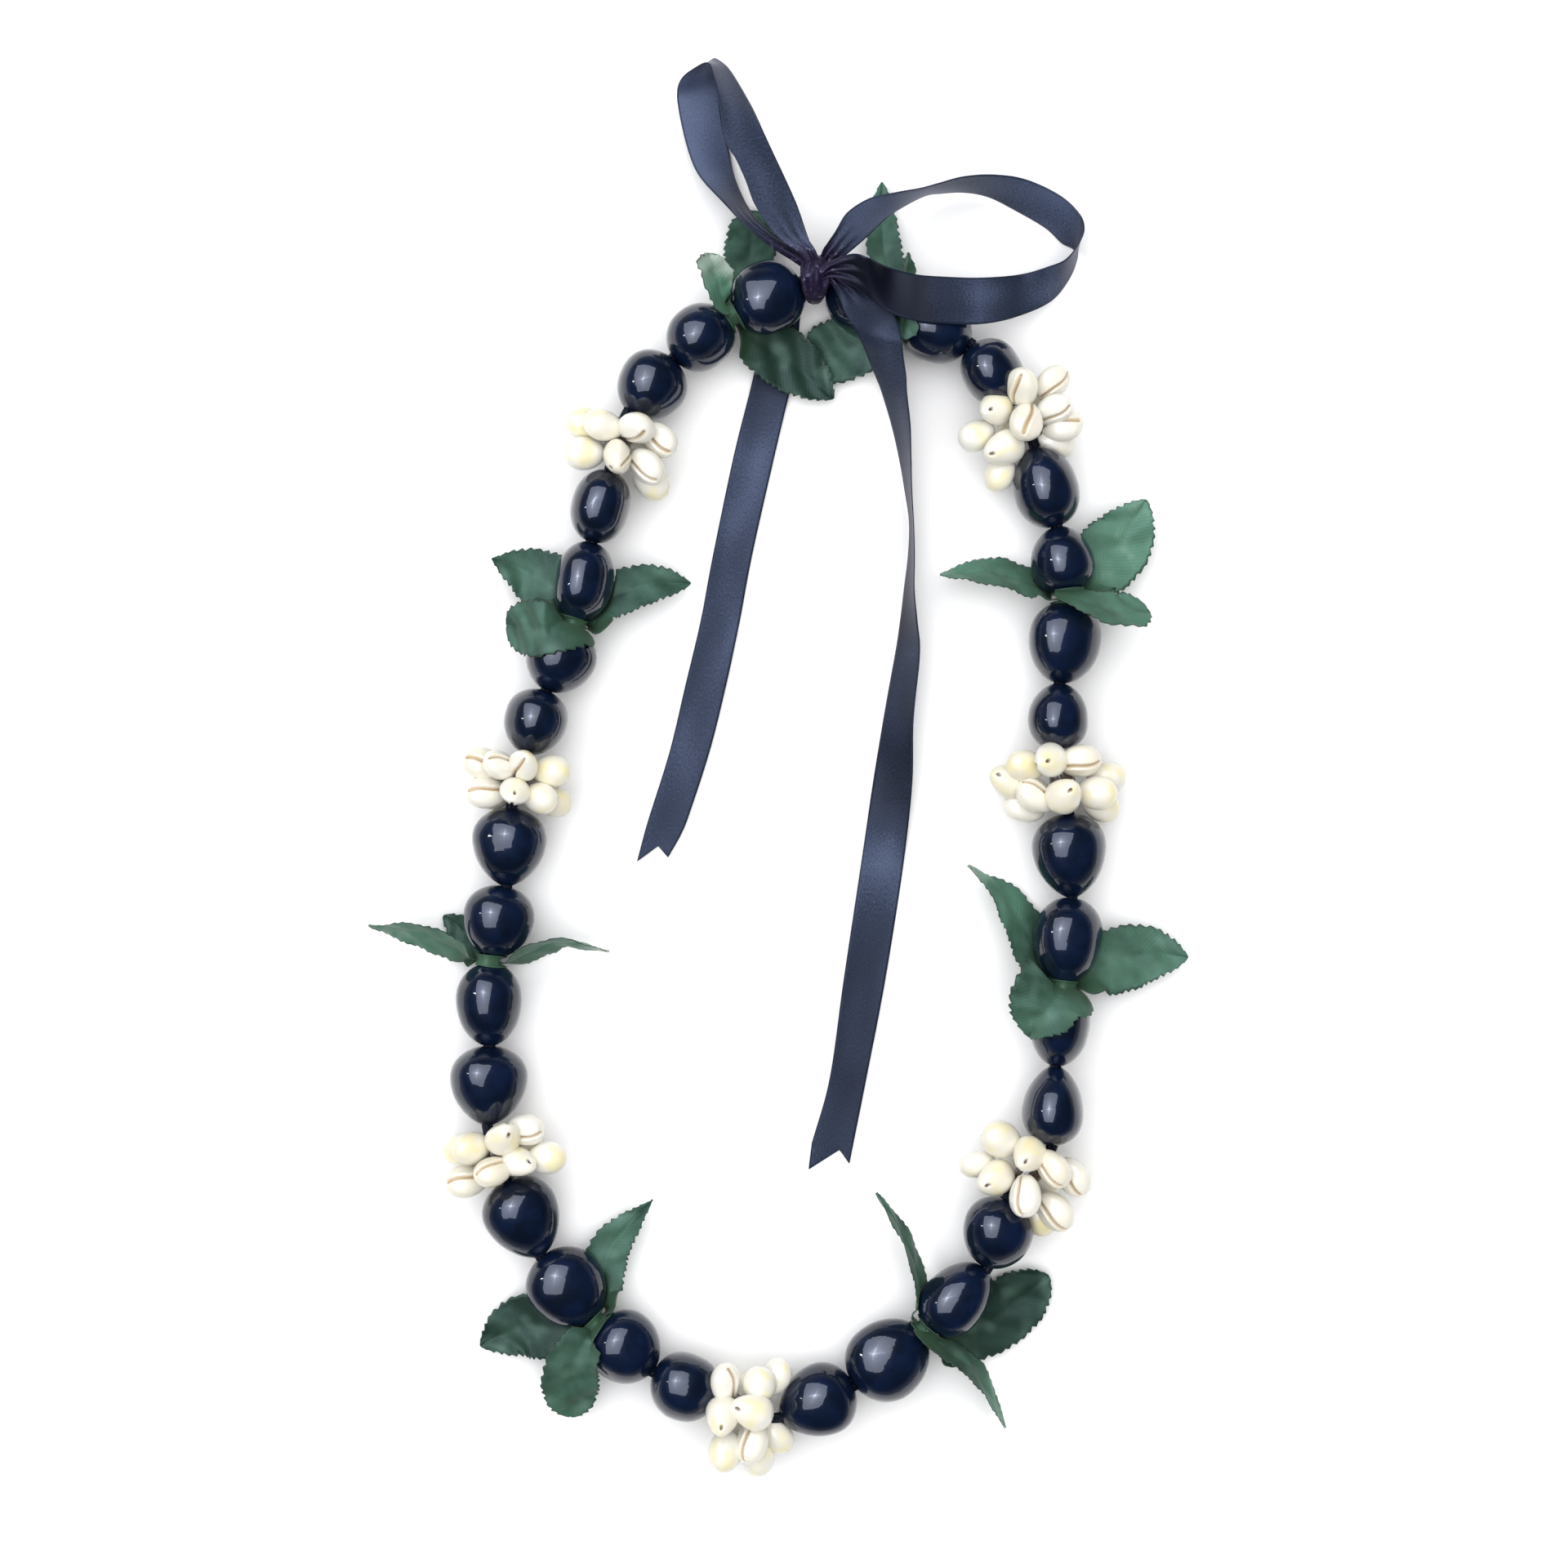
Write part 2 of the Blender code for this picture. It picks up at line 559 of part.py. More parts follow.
def smooth_route(points, count):
    """A curve through points, sampled at equal lengths, and its unit tangents."""
    points = np.asarray(points, float)
    ends = np.vstack((2 * points[0] - points[1], points, 2 * points[-1] - points[-2]))
    fine = []
    for i in range(1, len(ends) - 2):
        p0, p1, p2, p3 = ends[i - 1], ends[i], ends[i + 1], ends[i + 2]
        for u in np.linspace(0, 1, 24, endpoint=False):
            fine.append(
                0.5
                * (
                    2 * p1
                    + (p2 - p0) * u
                    + (2 * p0 - 5 * p1 + 4 * p2 - p3) * u * u
                    + (3 * p1 - p0 - 3 * p2 + p3) * u ** 3
                )
            )
    fine.append(points[-1])
    fine = np.array(fine)
    lengths = np.concatenate(((0,), np.cumsum(np.linalg.norm(np.diff(fine, axis=0), axis=1))))
    wanted = np.linspace(0, lengths[-1], count)
    sampled = np.column_stack([np.interp(wanted, lengths, fine[:, k]) for k in range(3)])
    tangents = np.gradient(sampled, axis=0)
    return sampled, tangents / np.linalg.norm(tangents, axis=1)[:, None]


def leaf_share(s, growth):
    """Half-width of a leaf as a share of its widest, at s from 0 at the hub to 1 at the tip."""
    widest = growth / (growth + 0.75)
    return s ** growth * (1 - s) ** 0.75 / (widest ** growth * (1 - widest) ** 0.75)


def level_sides(tangents):
    """Unit vectors that lie level and square to each tangent. Where a tangent is upright, the next one's is kept."""
    sides = np.cross((0, 0, 1), tangents)
    sides[-1] = unit(sides[-1])
    for i in range(len(sides) - 2, -1, -1):
        kept = sides[i] + sides[i + 1] * max(0.0, 0.7 - float(np.linalg.norm(sides[i])))
        sides[i] = unit(kept - tangents[i] * float(kept @ tangents[i]))
    return sides


def leaf_columns(leaf, hub, axis, nuts, broad):
    """Lines of points along a leaf, from one toothed rim to the other, each with its parameters.

    The leaf grows straight out of the hub ring, between the two nuts and square to the string, and turns
    flat as it leaves them.
    """
    width, roll_0, roll_1 = leaf[4:]
    route = [on_table(*point) for point in leaf[1:4]]
    radial = route[0] - hub
    radial = unit(radial - axis * float(radial @ axis))
    if np.linalg.norm(route[0] - hub) < 9.5:
        route = route[1:]
    route = [hub + radial * ROOT_RADIUS, hub + radial * 7.0] + route
    count = 2 * LEAF_STEPS + 1
    middle, tangents = smooth_route(route, count)
    s = np.linspace(0, 1, count)
    side = level_sides(tangents)
    normal = np.cross(tangents, side)
    roll = np.radians(roll_0 + (roll_1 - roll_0) * s)
    across = side * np.cos(roll)[:, None] + normal * np.sin(roll)[:, None]
    square = unit(np.cross(axis, radial))
    square *= 1.0 if float(square @ across[3]) >= 0 else -1.0
    turn = np.clip(s / 0.22, 0, 1)[:, None]
    across = across * turn + square * (1 - turn)
    across /= np.linalg.norm(across, axis=1)[:, None]
    half = np.maximum(width * leaf_share(0.07 + 0.93 * s, 0.8 if broad else 1.1), 0.35)
    half[0] = 1.3
    half[1::2] -= np.minimum(TOOTH, half[1::2] * 0.25)
    columns, bent = [], 0.0
    for share in (-1, -0.5, 0, 0.5, 1):
        picked = np.arange(0, count, 1 if abs(share) == 1 else 2)
        free = middle[picked] + across[picked] * (share * half[picked])[:, None]
        points = keep_clear(free, nuts, CLEAR + BLADE / 2 + (0.9 if broad else 0.4))
        points[0] = free[0]
        bent = max(bent, float(np.abs(points - free)[2:].max()))
        columns.append((s[picked], points))
    return columns if bent > 0.4 else columns[::2]


def keep_clear(points, nuts, gap):
    """Points held off the nuts and off the table."""
    for _ in range(2):
        for nut in nuts:
            points = nut.press_clear(points, gap)
    points[:, 2] = np.maximum(points[:, 2], BLADE / 2 + 0.15)
    return points


def zipped(ids_a, at_a, ids_b, at_b):
    """Triangles between two lines of points, taken in the order of their parameters."""
    i, j, faces = 0, 0, []
    while i < len(ids_a) - 1 or j < len(ids_b) - 1:
        step_a = i < len(ids_a) - 1 and (j == len(ids_b) - 1 or at_a[i + 1] <= at_b[j + 1])
        if step_a:
            faces.append((ids_a[i], ids_a[i + 1], ids_b[j]))
            i += 1
        else:
            faces.append((ids_a[i], ids_b[j + 1], ids_b[j]))
            j += 1
    return faces


def blade_solid(columns, thickness):
    """Points and faces of a thin closed body whose middle surface runs through the columns."""
    starts = np.cumsum([0] + [len(at) for at, _ in columns])
    ids = [list(range(starts[i], starts[i + 1])) for i in range(len(columns))]
    points = np.concatenate([line for _, line in columns])
    upper = []
    for (at_a, _), (at_b, _), a, b in zip(columns, columns[1:], ids, ids[1:]):
        upper += zipped(a, at_a, b, at_b)
    normals = np.zeros_like(points)
    for a, b, c in upper:
        turned = np.cross(points[b] - points[a], points[c] - points[a])
        for corner in (a, b, c):
            normals[corner] += turned
    normals /= np.maximum(np.linalg.norm(normals, axis=1), 1e-9)[:, None]
    count = len(points)
    both = np.concatenate((points + normals * thickness / 2, points - normals * thickness / 2))
    faces = list(upper) + [(c + count, b + count, a + count) for a, b, c in upper]
    border = ids[0] + [line[-1] for line in ids[1:-1]] + ids[-1][::-1] + [line[0] for line in ids[-2:0:-1]]
    for a, b in zip(border, border[1:] + border[:1]):
        faces.append((a, b, b + count, a + count))
    return both, faces


def make_leaves(string, nuts, surface):
    for index, station in enumerate(LEAF_STATIONS):
        before = unit(string[station] - string[station - 1])
        after = unit(string[station + 1] - string[station])
        axis = unit(before + after)
        side = unit(np.cross((0, 0, 1), axis))
        up = np.cross(axis, side)
        hub = string[station]
        angles = np.arange(8) * 2 * math.pi / 8
        rows = []
        for along, radius in ((-1, HUB_BORE), (-1, HUB_RADIUS), (1, HUB_RADIUS), (1, HUB_BORE)):
            rim = np.outer(np.cos(angles), side) + np.outer(np.sin(angles), up)
            rows.append(hub + axis * (along * HUB_THICKNESS / 2) + rim * radius)
        points, faces = ring_grid(rows)
        sprig = add_object(f"leaves_{index + 1}", points, faces, surface)
        blades = []
        for place, leaf in enumerate(LEAVES[index]):
            broad = (index, place) in BROAD_LEAVES
            points, faces = blade_solid(leaf_columns(leaf, hub, axis, nuts, broad), BLADE)
            blades.append(add_object("blade", points, faces, surface))
        join(sprig, blades)


def ribbon_rims(rows):
    """The two rims of a piece of ribbon, in millimetres, with the height of the second found from the width."""
    low, high = [], []
    for first_px, second_px, z, share, rise in rows:
        first = on_table(*first_px, z)
        second = on_table(*second_px, z)
        for _ in range(3):
            plan = float(np.linalg.norm((second - first)[:2]))
            climb = math.sqrt(max(0.0, (RIBBON_WIDTH * share) ** 2 - plan ** 2)) * rise
            second = on_table(*second_px, z + climb)
        low.append(first)
        high.append(second)
    return np.array(low), np.array(high)


def make_ribbon(name, rows, surface, tips=None):
    low, high = ribbon_rims(rows)
    at = np.arange(len(low), dtype=float)
    if tips is None:
        columns = [(at, low), (at, high)]
    else:
        ends = [on_table(*tip, low[-1][2]) for tip in tips]
        more = np.append(at, at[-1] + 1)
        middle = (low + high) / 2
        columns = [
            (more, np.vstack((low, ends[0]))),
            (more, np.vstack((middle, ends[1]))),
            (more, np.vstack((high, ends[2]))),
        ]
    points, faces = blade_solid(columns, RIBBON_THICKNESS)
    add_object(name, points, faces, surface)


def make_knot(surface):
    """The tied middle of the bow: a lump that widens over the nuts, with the folds of the ribbon on it."""
    right = np.array(KNOT_OUTLINE)
    left = right[:0:-1] * (-1, 1)
    outline = np.vstack((right, left))
    rows = []
    for v in np.linspace(0.07, 0.93, 7):
        share = math.sin(math.pi * v) ** 0.6
        folds = np.where(np.arange(len(outline)) % 2 == 0, 1.0, 0.95)
        ring = outline * share * folds[:, None]
        along = np.full(len(ring), KNOT_HALF_LENGTH * math.cos(math.pi * v))
        rows.append(np.column_stack((ring[:, 0], along, ring[:, 1])) + KNOT_CENTRE)
    points, faces = tube_grid(rows)
    add_object("bow_knot", points, faces, surface)


def main():
    clear_scene()
    nut_surface = material("polished kukui nut", (0.006, 0.010, 0.030), 0.08)
    shell_surface = material("white cowrie", (0.86, 0.84, 0.74), 0.25)
    leaf_surface = material("green polyester cloth", (0.09, 0.20, 0.13), 0.7)
    ribbon_surface = material("navy satin ribbon", (0.045, 0.065, 0.12), 0.35)
    string = string_points()
    nuts = [Nut(string, index, first) for index, first in enumerate(nut_spans())]
    make_nuts(nuts, nut_surface)
    make_strand(string, ribbon_surface)
    make_bunches(string, shell_surface)
    make_leaves(string, nuts, leaf_surface)
    make_knot(ribbon_surface)
    make_ribbon("loop_left", LOOP_LEFT, ribbon_surface)
    make_ribbon("loop_right", LOOP_RIGHT, ribbon_surface)
    make_ribbon("tail_left", TAIL_LEFT, ribbon_surface, TAIL_LEFT_TIPS)
    make_ribbon("tail_right", TAIL_RIGHT, ribbon_surface, TAIL_RIGHT_TIPS)


main()
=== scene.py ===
# %% [markdown]
# # A kukui nut lei, lying on a table
#
# A lei is a garland. This one has thirty polished kukui nuts on a dark satin ribbon, with bunches of
# white cowries and sprigs of green cloth leaves between them, and a bow where the two ends are tied.
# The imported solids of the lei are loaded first, as a fixed frame that says where everything lies.
# Each later step makes one kind of piece again as a smooth surface, in the place of its solid.

# %% Load the frame
from functools import partial

import bpy
import numpy as np
from mathutils import Matrix


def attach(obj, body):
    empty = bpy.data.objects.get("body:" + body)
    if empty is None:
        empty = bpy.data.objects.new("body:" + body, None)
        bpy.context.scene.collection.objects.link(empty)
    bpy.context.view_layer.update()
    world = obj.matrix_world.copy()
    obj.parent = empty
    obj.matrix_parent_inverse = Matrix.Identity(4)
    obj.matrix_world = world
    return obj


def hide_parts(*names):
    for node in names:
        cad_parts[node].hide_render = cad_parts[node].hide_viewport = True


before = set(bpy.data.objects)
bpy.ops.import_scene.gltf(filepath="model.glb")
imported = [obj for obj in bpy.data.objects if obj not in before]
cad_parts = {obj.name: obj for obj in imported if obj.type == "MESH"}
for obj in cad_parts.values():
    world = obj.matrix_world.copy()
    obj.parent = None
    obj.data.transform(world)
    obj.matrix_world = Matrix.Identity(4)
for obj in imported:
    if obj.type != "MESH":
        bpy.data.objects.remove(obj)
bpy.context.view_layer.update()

# %% [markdown]
# ## The camera
#
# The photograph looks straight down, so the camera hangs above the lei and looks along -Z.
# One pixel of the photograph is 0.286 mm at the level of the nuts, 887 mm below the lens. That fixes the
# lens: a 36 mm sensor has to take in 1920 pixels of 0.286 mm at that distance.

# %% Camera
MM = 0.001
PHOTO_PX = 1920
MM_PER_PX = 0.286
LENS_ABOVE_TABLE = 900.0
NUT_LEVEL = 13.0
CENTRE = (1.6, -10.2)
SENSOR_WIDTH = 36.0

camera_data = bpy.data.cameras.new("straight down")
camera_data.sensor_width = SENSOR_WIDTH
camera_data.lens = SENSOR_WIDTH * (LENS_ABOVE_TABLE - NUT_LEVEL) / (PHOTO_PX * MM_PER_PX)
camera_data.clip_start = 0.01
camera = bpy.data.objects.new("camera", camera_data)
camera.location = (CENTRE[0] * MM, CENTRE[1] * MM, LENS_ABOVE_TABLE * MM)
bpy.context.scene.collection.objects.link(camera)
bpy.context.scene.camera = camera
print("lens in mm:", round(camera_data.lens, 2))

# %% [markdown]
# ## Small tools
#
# Everything below is worked out in millimetres, as whole numpy arrays, and is turned into metres only when
# a mesh is made. The main tools turn a pixel of the photograph into a place on the lei, draw a smooth curve
# through a few points, lay rings round a line, number the faces of a grid, and make the mesh. Every piece is
# made with these, because each is one grid of points or a few of them.

# %% Places and curves


def at_pixel(px, py, z):
    """The point seen at a pixel when it is z above the table.

    A pixel covers fewer millimetres the nearer the point is to the lens: 0.286 times (900 - z) / 887.
    """
    px, py, z = np.broadcast_arrays(*(np.asarray(value, float) for value in (px, py, z)))
    scale = MM_PER_PX * (LENS_ABOVE_TABLE - z) / (LENS_ABOVE_TABLE - NUT_LEVEL)
    x = CENTRE[0] + (px - PHOTO_PX / 2) * scale
    y = CENTRE[1] - (py - PHOTO_PX / 2) * scale
    return np.stack((x, y, z), axis=-1)


def unit(vectors):
    """Each vector divided by its own length."""
    vectors = np.asarray(vectors, float)
    return vectors / np.maximum(np.linalg.norm(vectors, axis=-1, keepdims=True), 1e-9)


def through(points, steps):
    """A smooth curve through the points: between each two of them the Catmull-Rom cubic, in steps parts."""
    points = np.asarray(points, float)
    p = np.concatenate((2 * points[:1] - points[1:2], points, 2 * points[-1:] - points[-2:-1]))
    u = np.linspace(0, 1, steps, endpoint=False)[None, :, None]
    p0, p1, p2, p3 = (p[i:len(p) - 3 + i, None] for i in range(4))
    curve = 0.5 * (
        2 * p1 + (p2 - p0) * u + (2 * p0 - 5 * p1 + 4 * p2 - p3) * u * u
        + (3 * p1 - p0 - 3 * p2 + p3) * u ** 3
    )
    return np.concatenate((curve.reshape(-1, points.shape[1]), points[-1:]))


def evenly(points, count):
    """The same line, given by count points at equal distances along it."""
    steps = np.linalg.norm(np.diff(points, axis=0), axis=1)
    far = np.concatenate(((0.0,), np.cumsum(steps)))
    wanted = np.linspace(0, far[-1], count)
    return np.stack([np.interp(wanted, far, points[:, k]) for k in range(points.shape[1])], axis=1)


def step_up(x, low, high):
    """0 below low and 1 above high, with a smooth S between: 3 t squared less 2 t cubed."""
    t = np.clip((x - low) / (high - low), 0, 1)
    return t * t * (3 - 2 * t)


def filled(rows, usual):
    """Rows of numbers as one array, each filled up at its end with the last numbers of the usual row."""
    return np.array([(*row, *usual[len(row):]) for row in rows], float)


print("the photograph's middle is over", at_pixel(PHOTO_PX / 2, PHOTO_PX / 2, 0.0), "in mm")

# %% Grids and meshes


def quads(rows, columns, closed=False):
    """Corner numbers of the faces of a grid. A closed one also joins its last column to its first."""
    i, j = np.meshgrid(np.arange(rows - 1), np.arange(columns if closed else columns - 1), indexing="ij")
    k = (j + 1) % columns
    corners = (i * columns + j, i * columns + k, (i + 1) * columns + k, (i + 1) * columns + j)
    return np.stack(corners, axis=-1).reshape(-1, 4)


def round_a_line(line, side, up, angle, wide, high):
    """Points round a line: line + wide cos(angle) side + high sin(angle) up."""
    return line + (np.cos(angle) * wide)[..., None] * side + (np.sin(angle) * high)[..., None] * up


def closed_body(rings, poles=None):
    """Points and faces of a tube of rings, closed by fans to two poles, else to its end rings' middles."""
    rows, columns = rings.shape[:2]
    poles = rings[[0, -1]].mean(axis=1) if poles is None else poles
    points = np.concatenate((rings.reshape(-1, 3), poles))
    j = np.arange(columns)
    k = (j + 1) % columns
    start, end = rows * columns, rows * columns + 1
    last = (rows - 1) * columns
    first_fan = np.stack((np.full(columns, start), k, j), axis=1)
    last_fan = np.stack((last + j, last + k, np.full(columns, end)), axis=1)
    return points, [quads(rows, columns, closed=True), first_fan, last_fan]


def make_piece(name, points, faces, surface, replaces=(), uv=None, marks=None):
    """A named object from points in millimetres and arrays of faces, riding on the lei's one body.

    uv is one pair of numbers a point, and marks are named numbers a point that the material reads.
    """
    mesh = bpy.data.meshes.new(name)
    corners = [face for block in faces for face in block.tolist()]
    mesh.from_pydata((points * MM).tolist(), [], corners)
    mesh.shade_smooth()
    for mark, values in (marks or {}).items():
        mesh.attributes.new(mark, "FLOAT", "POINT").data.foreach_set("value", np.asarray(values, np.float32))
    if uv is not None:
        owner = np.empty(len(mesh.loops), np.int32)
        mesh.loops.foreach_get("vertex_index", owner)
        mesh.uv_layers.new(name="UVMap").data.foreach_set("uv", uv[owner].astype(np.float32).ravel())
    mesh.materials.append(surface)
    made = bpy.data.objects.new(name, mesh)
    bpy.context.scene.collection.objects.link(made)
    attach(made, "root")
    if replaces:
        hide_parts(*replaces)
    return made


def give_thickness(piece, thickness):
    """Solidify turns a one-sided sheet into cloth with two faces, half the thickness on each side."""
    modifier = piece.modifiers.new("cloth thickness", "SOLIDIFY")
    modifier.thickness = thickness * MM
    modifier.offset = 0.0


print("a closed grid of 3 rows of 4 points has", len(quads(3, 4, closed=True)), "faces")

# %% [markdown]
# ## Finishes
#
# A material is a small graph of nodes. One helper adds a node, sets its values, links it and gives back the
# output that is wanted, so a graph reads like a list of steps. Colours are written as they look on a screen,
# in hex sRGB, and one function turns them into the linear numbers that the renderer adds up.

# %% Tools for materials


def linear(hex_colour):
    """Linear red, green and blue of an sRGB hex colour: below 0.04045 a twelfth, above it a 2.4 power."""
    srgb = np.array([int(hex_colour[i:i + 2], 16) / 255 for i in (1, 3, 5)])
    values = np.where(srgb <= 0.04045, srgb / 12.92, ((srgb + 0.055) / 1.055) ** 2.4)
    return (*values.tolist(), 1.0)


def add_node(tree, kind, inputs=None, out=0, stops=(), **settings):
    """Adds one shader node and gives back its output called out.

    Inputs are values, or sockets to link from. Stops are the places and hex colours of a colour ramp.
    """
    made = tree.nodes.new("ShaderNode" + kind)
    for name, value in settings.items():
        setattr(made, name, value)
    for name, value in (inputs or {}).items():
        if isinstance(value, bpy.types.NodeSocket):
            tree.links.new(value, made.inputs[name])
        else:
            made.inputs[name].default_value = value
    for number, (place, hue) in enumerate(stops):
        ends = made.color_ramp.elements
        stop = ends[-1] if number == len(stops) - 1 else ends[0] if number == 0 else ends.new(place)
        stop.position, stop.color = place, linear(hue)
    return made.outputs[out]


def new_material(name, **values):
    """A material, its Principled shader with those values set on it, and a way to add nodes to it."""
    made = bpy.data.materials.new(name)
    made.use_nodes = True
    shader = made.node_tree.nodes["Principled BSDF"]
    for socket, value in values.items():
        shader.inputs[socket.replace("_", " ")].default_value = value
    return made, shader, partial(add_node, made.node_tree)


def link(shader, **sources):
    """Links each source to the shader's input of that name."""
    for socket, source in sources.items():
        shader.id_data.links.new(source, shader.inputs[socket.replace("_", " ")])


print("half grey on a screen is", round(linear("#808080")[0], 3), "in linear light")

# %% [markdown]
# ### Kukui nut: hard seed coat, tumbled, dyed and lacquered
#
# The lacquer gives a sharp, clear reflection of whatever is above the nut, and the nut itself is almost
# black with a breath of blue. So the shader has a dark base that is a little uneven, and a clear coat.

# %% Nut finish


def lacquered_nut():
    """Dark blue-black seed coat under clear lacquer, with clouds about 7 mm wide and pits under 2.5 mm."""
    made, shader, add = new_material(
        "kukui seed coat, dyed and lacquered",
        Roughness=0.3, IOR=1.2, Coat_Weight=1.0, Coat_IOR=1.5, Coat_Roughness=0.02,
    )
    place = add("TexCoord", out="Object")
    clouds = add("TexNoise", {"Vector": place, "Scale": 140.0, "Detail": 3.0})
    colour = add("ValToRGB", {"Fac": clouds}, stops=((0.35, "#07101f"), (0.72, "#0b1832")))
    pits = add("TexNoise", {"Vector": place, "Scale": 420.0, "Detail": 2.0})
    bump = add("Bump", {"Height": pits, "Strength": 0.12, "Distance": 0.0004})
    link(shader, Base_Color=colour, Normal=bump, Coat_Normal=bump)
    return made


nut_finish = lacquered_nut()
print("made", nut_finish.name)

# %% [markdown]
# ### Cowrie: natural porcelain-like shell
#
# A cowrie is polished by the animal itself. It is creamy white, with yellow patches on its back, and the
# toothed slit along its underside is a pale ochre brown, partly its own colour and partly painted shade.
# Where the shell was drilled for its thread there is a small hole, painted dark brown for the shade
# inside it. The mesh carries numbers that say where the slit, the hole, the back and the wound thread are,
# and each colour is laid over the last one as strongly as such a number says. The thread's dark brown is
# partly painted shade of the gaps between the shells.

# %% Cowrie finish


def natural_cowrie():
    """Cream shell with pale clouds about 6 mm wide, yellow patches on the back, brown slit and hole.

    The hole's brown is painted shade, and the slit's and the thread's are partly painted shade.
    """
    made, shader, add = new_material(
        "cowrie shell, naturally glazed", Roughness=0.24, IOR=1.55, Coat_Weight=0.35, Coat_Roughness=0.08
    )
    place = add("TexCoord", out="Object")
    marks = ("slit", "hole", "back", "tone", "thread")
    slit, hole, back, tone, thread = (add("Attribute", attribute_name=mark, out="Fac") for mark in marks)
    clouds = add("TexNoise", {"Vector": place, "Scale": 160.0, "Detail": 3.0})
    shaded = add("MapRange", {0: clouds, 1: 0.3, 2: 0.7, 3: 0.0, 4: 0.35})
    spots = add("TexNoise", {"Vector": place, "Scale": 130.0, "Detail": 1.0})
    patch = add("MapRange", {0: spots, 1: 0.4, 2: 0.7, 4: 0.62}, interpolation_type="SMOOTHSTEP")
    yellow = add("Math", {0: patch, 1: back}, operation="MULTIPLY")
    colour = linear("#e7e5dc")
    # The slit's brown is partly painted shade, and the hole's dark brown is painted shade.
    # The thread's dark brown is partly its own colour and partly painted shade of the gaps between shells.
    layers = (
        (tone, "#ded7c2"), (shaded, "#d8d6ce"), (yellow, "#e8dc9c"), (slit, "#b39566"), (hole, "#5c4a3c"),
        (thread, "#4a3d33"),
    )
    for mask, hue in layers:
        colour = add("Mix", {0: mask, 6: colour, 7: linear(hue)}, out=2, data_type="RGBA")
    bump = add("Bump", {"Height": clouds, "Strength": 0.1, "Distance": 0.0005})
    link(shader, Base_Color=colour, Normal=bump)
    return made


cowrie_finish = natural_cowrie()
print("made", cowrie_finish.name)

# %% [markdown]
# ### Leaf: woven polyester, cut with a hot blade and embossed
#
# The leaves are cloth. Each was pressed in a mould, which left a crease down its middle and fine ribs that
# run out to its rim, and cut with a heated edge, which left a thin dark line on every tooth. Painted sheen
# makes the cloth pale in patches, and painted shade makes it darker and greener near its root. The mesh
# says how far along and across the leaf each point is, in millimetres. Real threads are about 0.2 mm apart,
# too fine to show from here, so they are drawn 0.5 mm apart.

# %% Leaf finish
RIB_SPACING = 1.5


def pressed_leaf_cloth():
    """Green plain-weave cloth: its ribs are a sine of the rib mark, its threads a chequer of its UV map."""
    made, shader, add = new_material(
        "polyester leaf cloth, heat pressed",
        Roughness=0.5, IOR=1.33, Sheen_Weight=0.08, Sheen_Roughness=0.5, Sheen_Tint=linear("#cfe0d6"),
    )
    place = add("TexCoord", out="Object")
    flat = add("UVMap", uv_map="UVMap")
    marks = ("rib", "rim", "root", "crease", "tone")
    rib, rim, root, crease, tone = (add("Attribute", attribute_name=mark, out="Fac") for mark in marks)
    clouds = add("TexNoise", {"Vector": place, "Scale": 95.0, "Detail": 3.0})
    mottle = add("MapRange", {0: clouds, 1: 0.3, 2: 0.7, 3: -0.13, 4: 0.13})
    # A leaf's tone mark is its painted light and shade, and the clouds add random tone.
    shade = add("Math", {0: mottle, 1: tone}, operation="ADD")
    greens = ((0.0, "#12291f"), (0.6, "#4d7662"), (1.0, "#a9b8ac"))
    colour = add("ValToRGB", {"Fac": shade}, stops=greens)
    turns = add("Math", {0: rib, 1: 2 * np.pi / RIB_SPACING}, operation="MULTIPLY")
    wave = add("Math", {0: turns}, operation="SINE")
    ribs = add("MapRange", {0: wave, 1: -1.0, 2: 1.0, 3: 0.0, 4: 0.14})
    # Painted sheen: paler patches where the cloth would catch the light.
    patches = add("TexNoise", {"Vector": flat, "Scale": 0.075, "Detail": 1.0})
    painted_sheen = add("MapRange", {0: patches, 1: 0.48, 2: 0.75, 4: 0.4}, interpolation_type="SMOOTHSTEP")
    # Over the greens: darker ribs, painted sheen, painted shade near the root, and the dark cut rim.
    for mask, hue in ((ribs, "#1c332f"), (painted_sheen, "#6f9484"), (root, "#2f4a34"), (rim, "#2a3d33")):
        colour = add("Mix", {0: mask, 6: colour, 7: linear(hue)}, out=2, data_type="RGBA")
    threads = add("TexChecker", {"Vector": flat, "Scale": 2.0}, out="Fac")
    both = add("Math", {0: wave, 1: 0.4, 2: threads}, operation="MULTIPLY_ADD")
    pressed = add("Math", {0: crease, 1: -2.0, 2: both}, operation="MULTIPLY_ADD")
    bump = add("Bump", {"Height": pressed, "Strength": 0.25, "Distance": 0.00012})
    link(shader, Base_Color=colour, Normal=bump)
    return made


leaf_finish = pressed_leaf_cloth()
print("made", leaf_finish.name)

# %% [markdown]
# ### Ribbon: navy satin with woven edges
#
# Satin has long threads on its face, all along the ribbon, so its shine is smooth one way and grainy the
# other. How bright it looks depends on how the threads lie to the light, and that is painted into its
# colour: each ribbon carries a number, its lustre, a painted sheen and shade that says how much light they
# catch there. A tight, darker selvedge runs along each rim, and where the ribbon is gathered painted shade
# turns the folds dark violet, with lilac specks of painted glints. Real threads are under 0.1 mm apart, so
# they are drawn about 0.45 mm apart.

# %% Ribbon finish
THREADS_ACROSS = 2.2


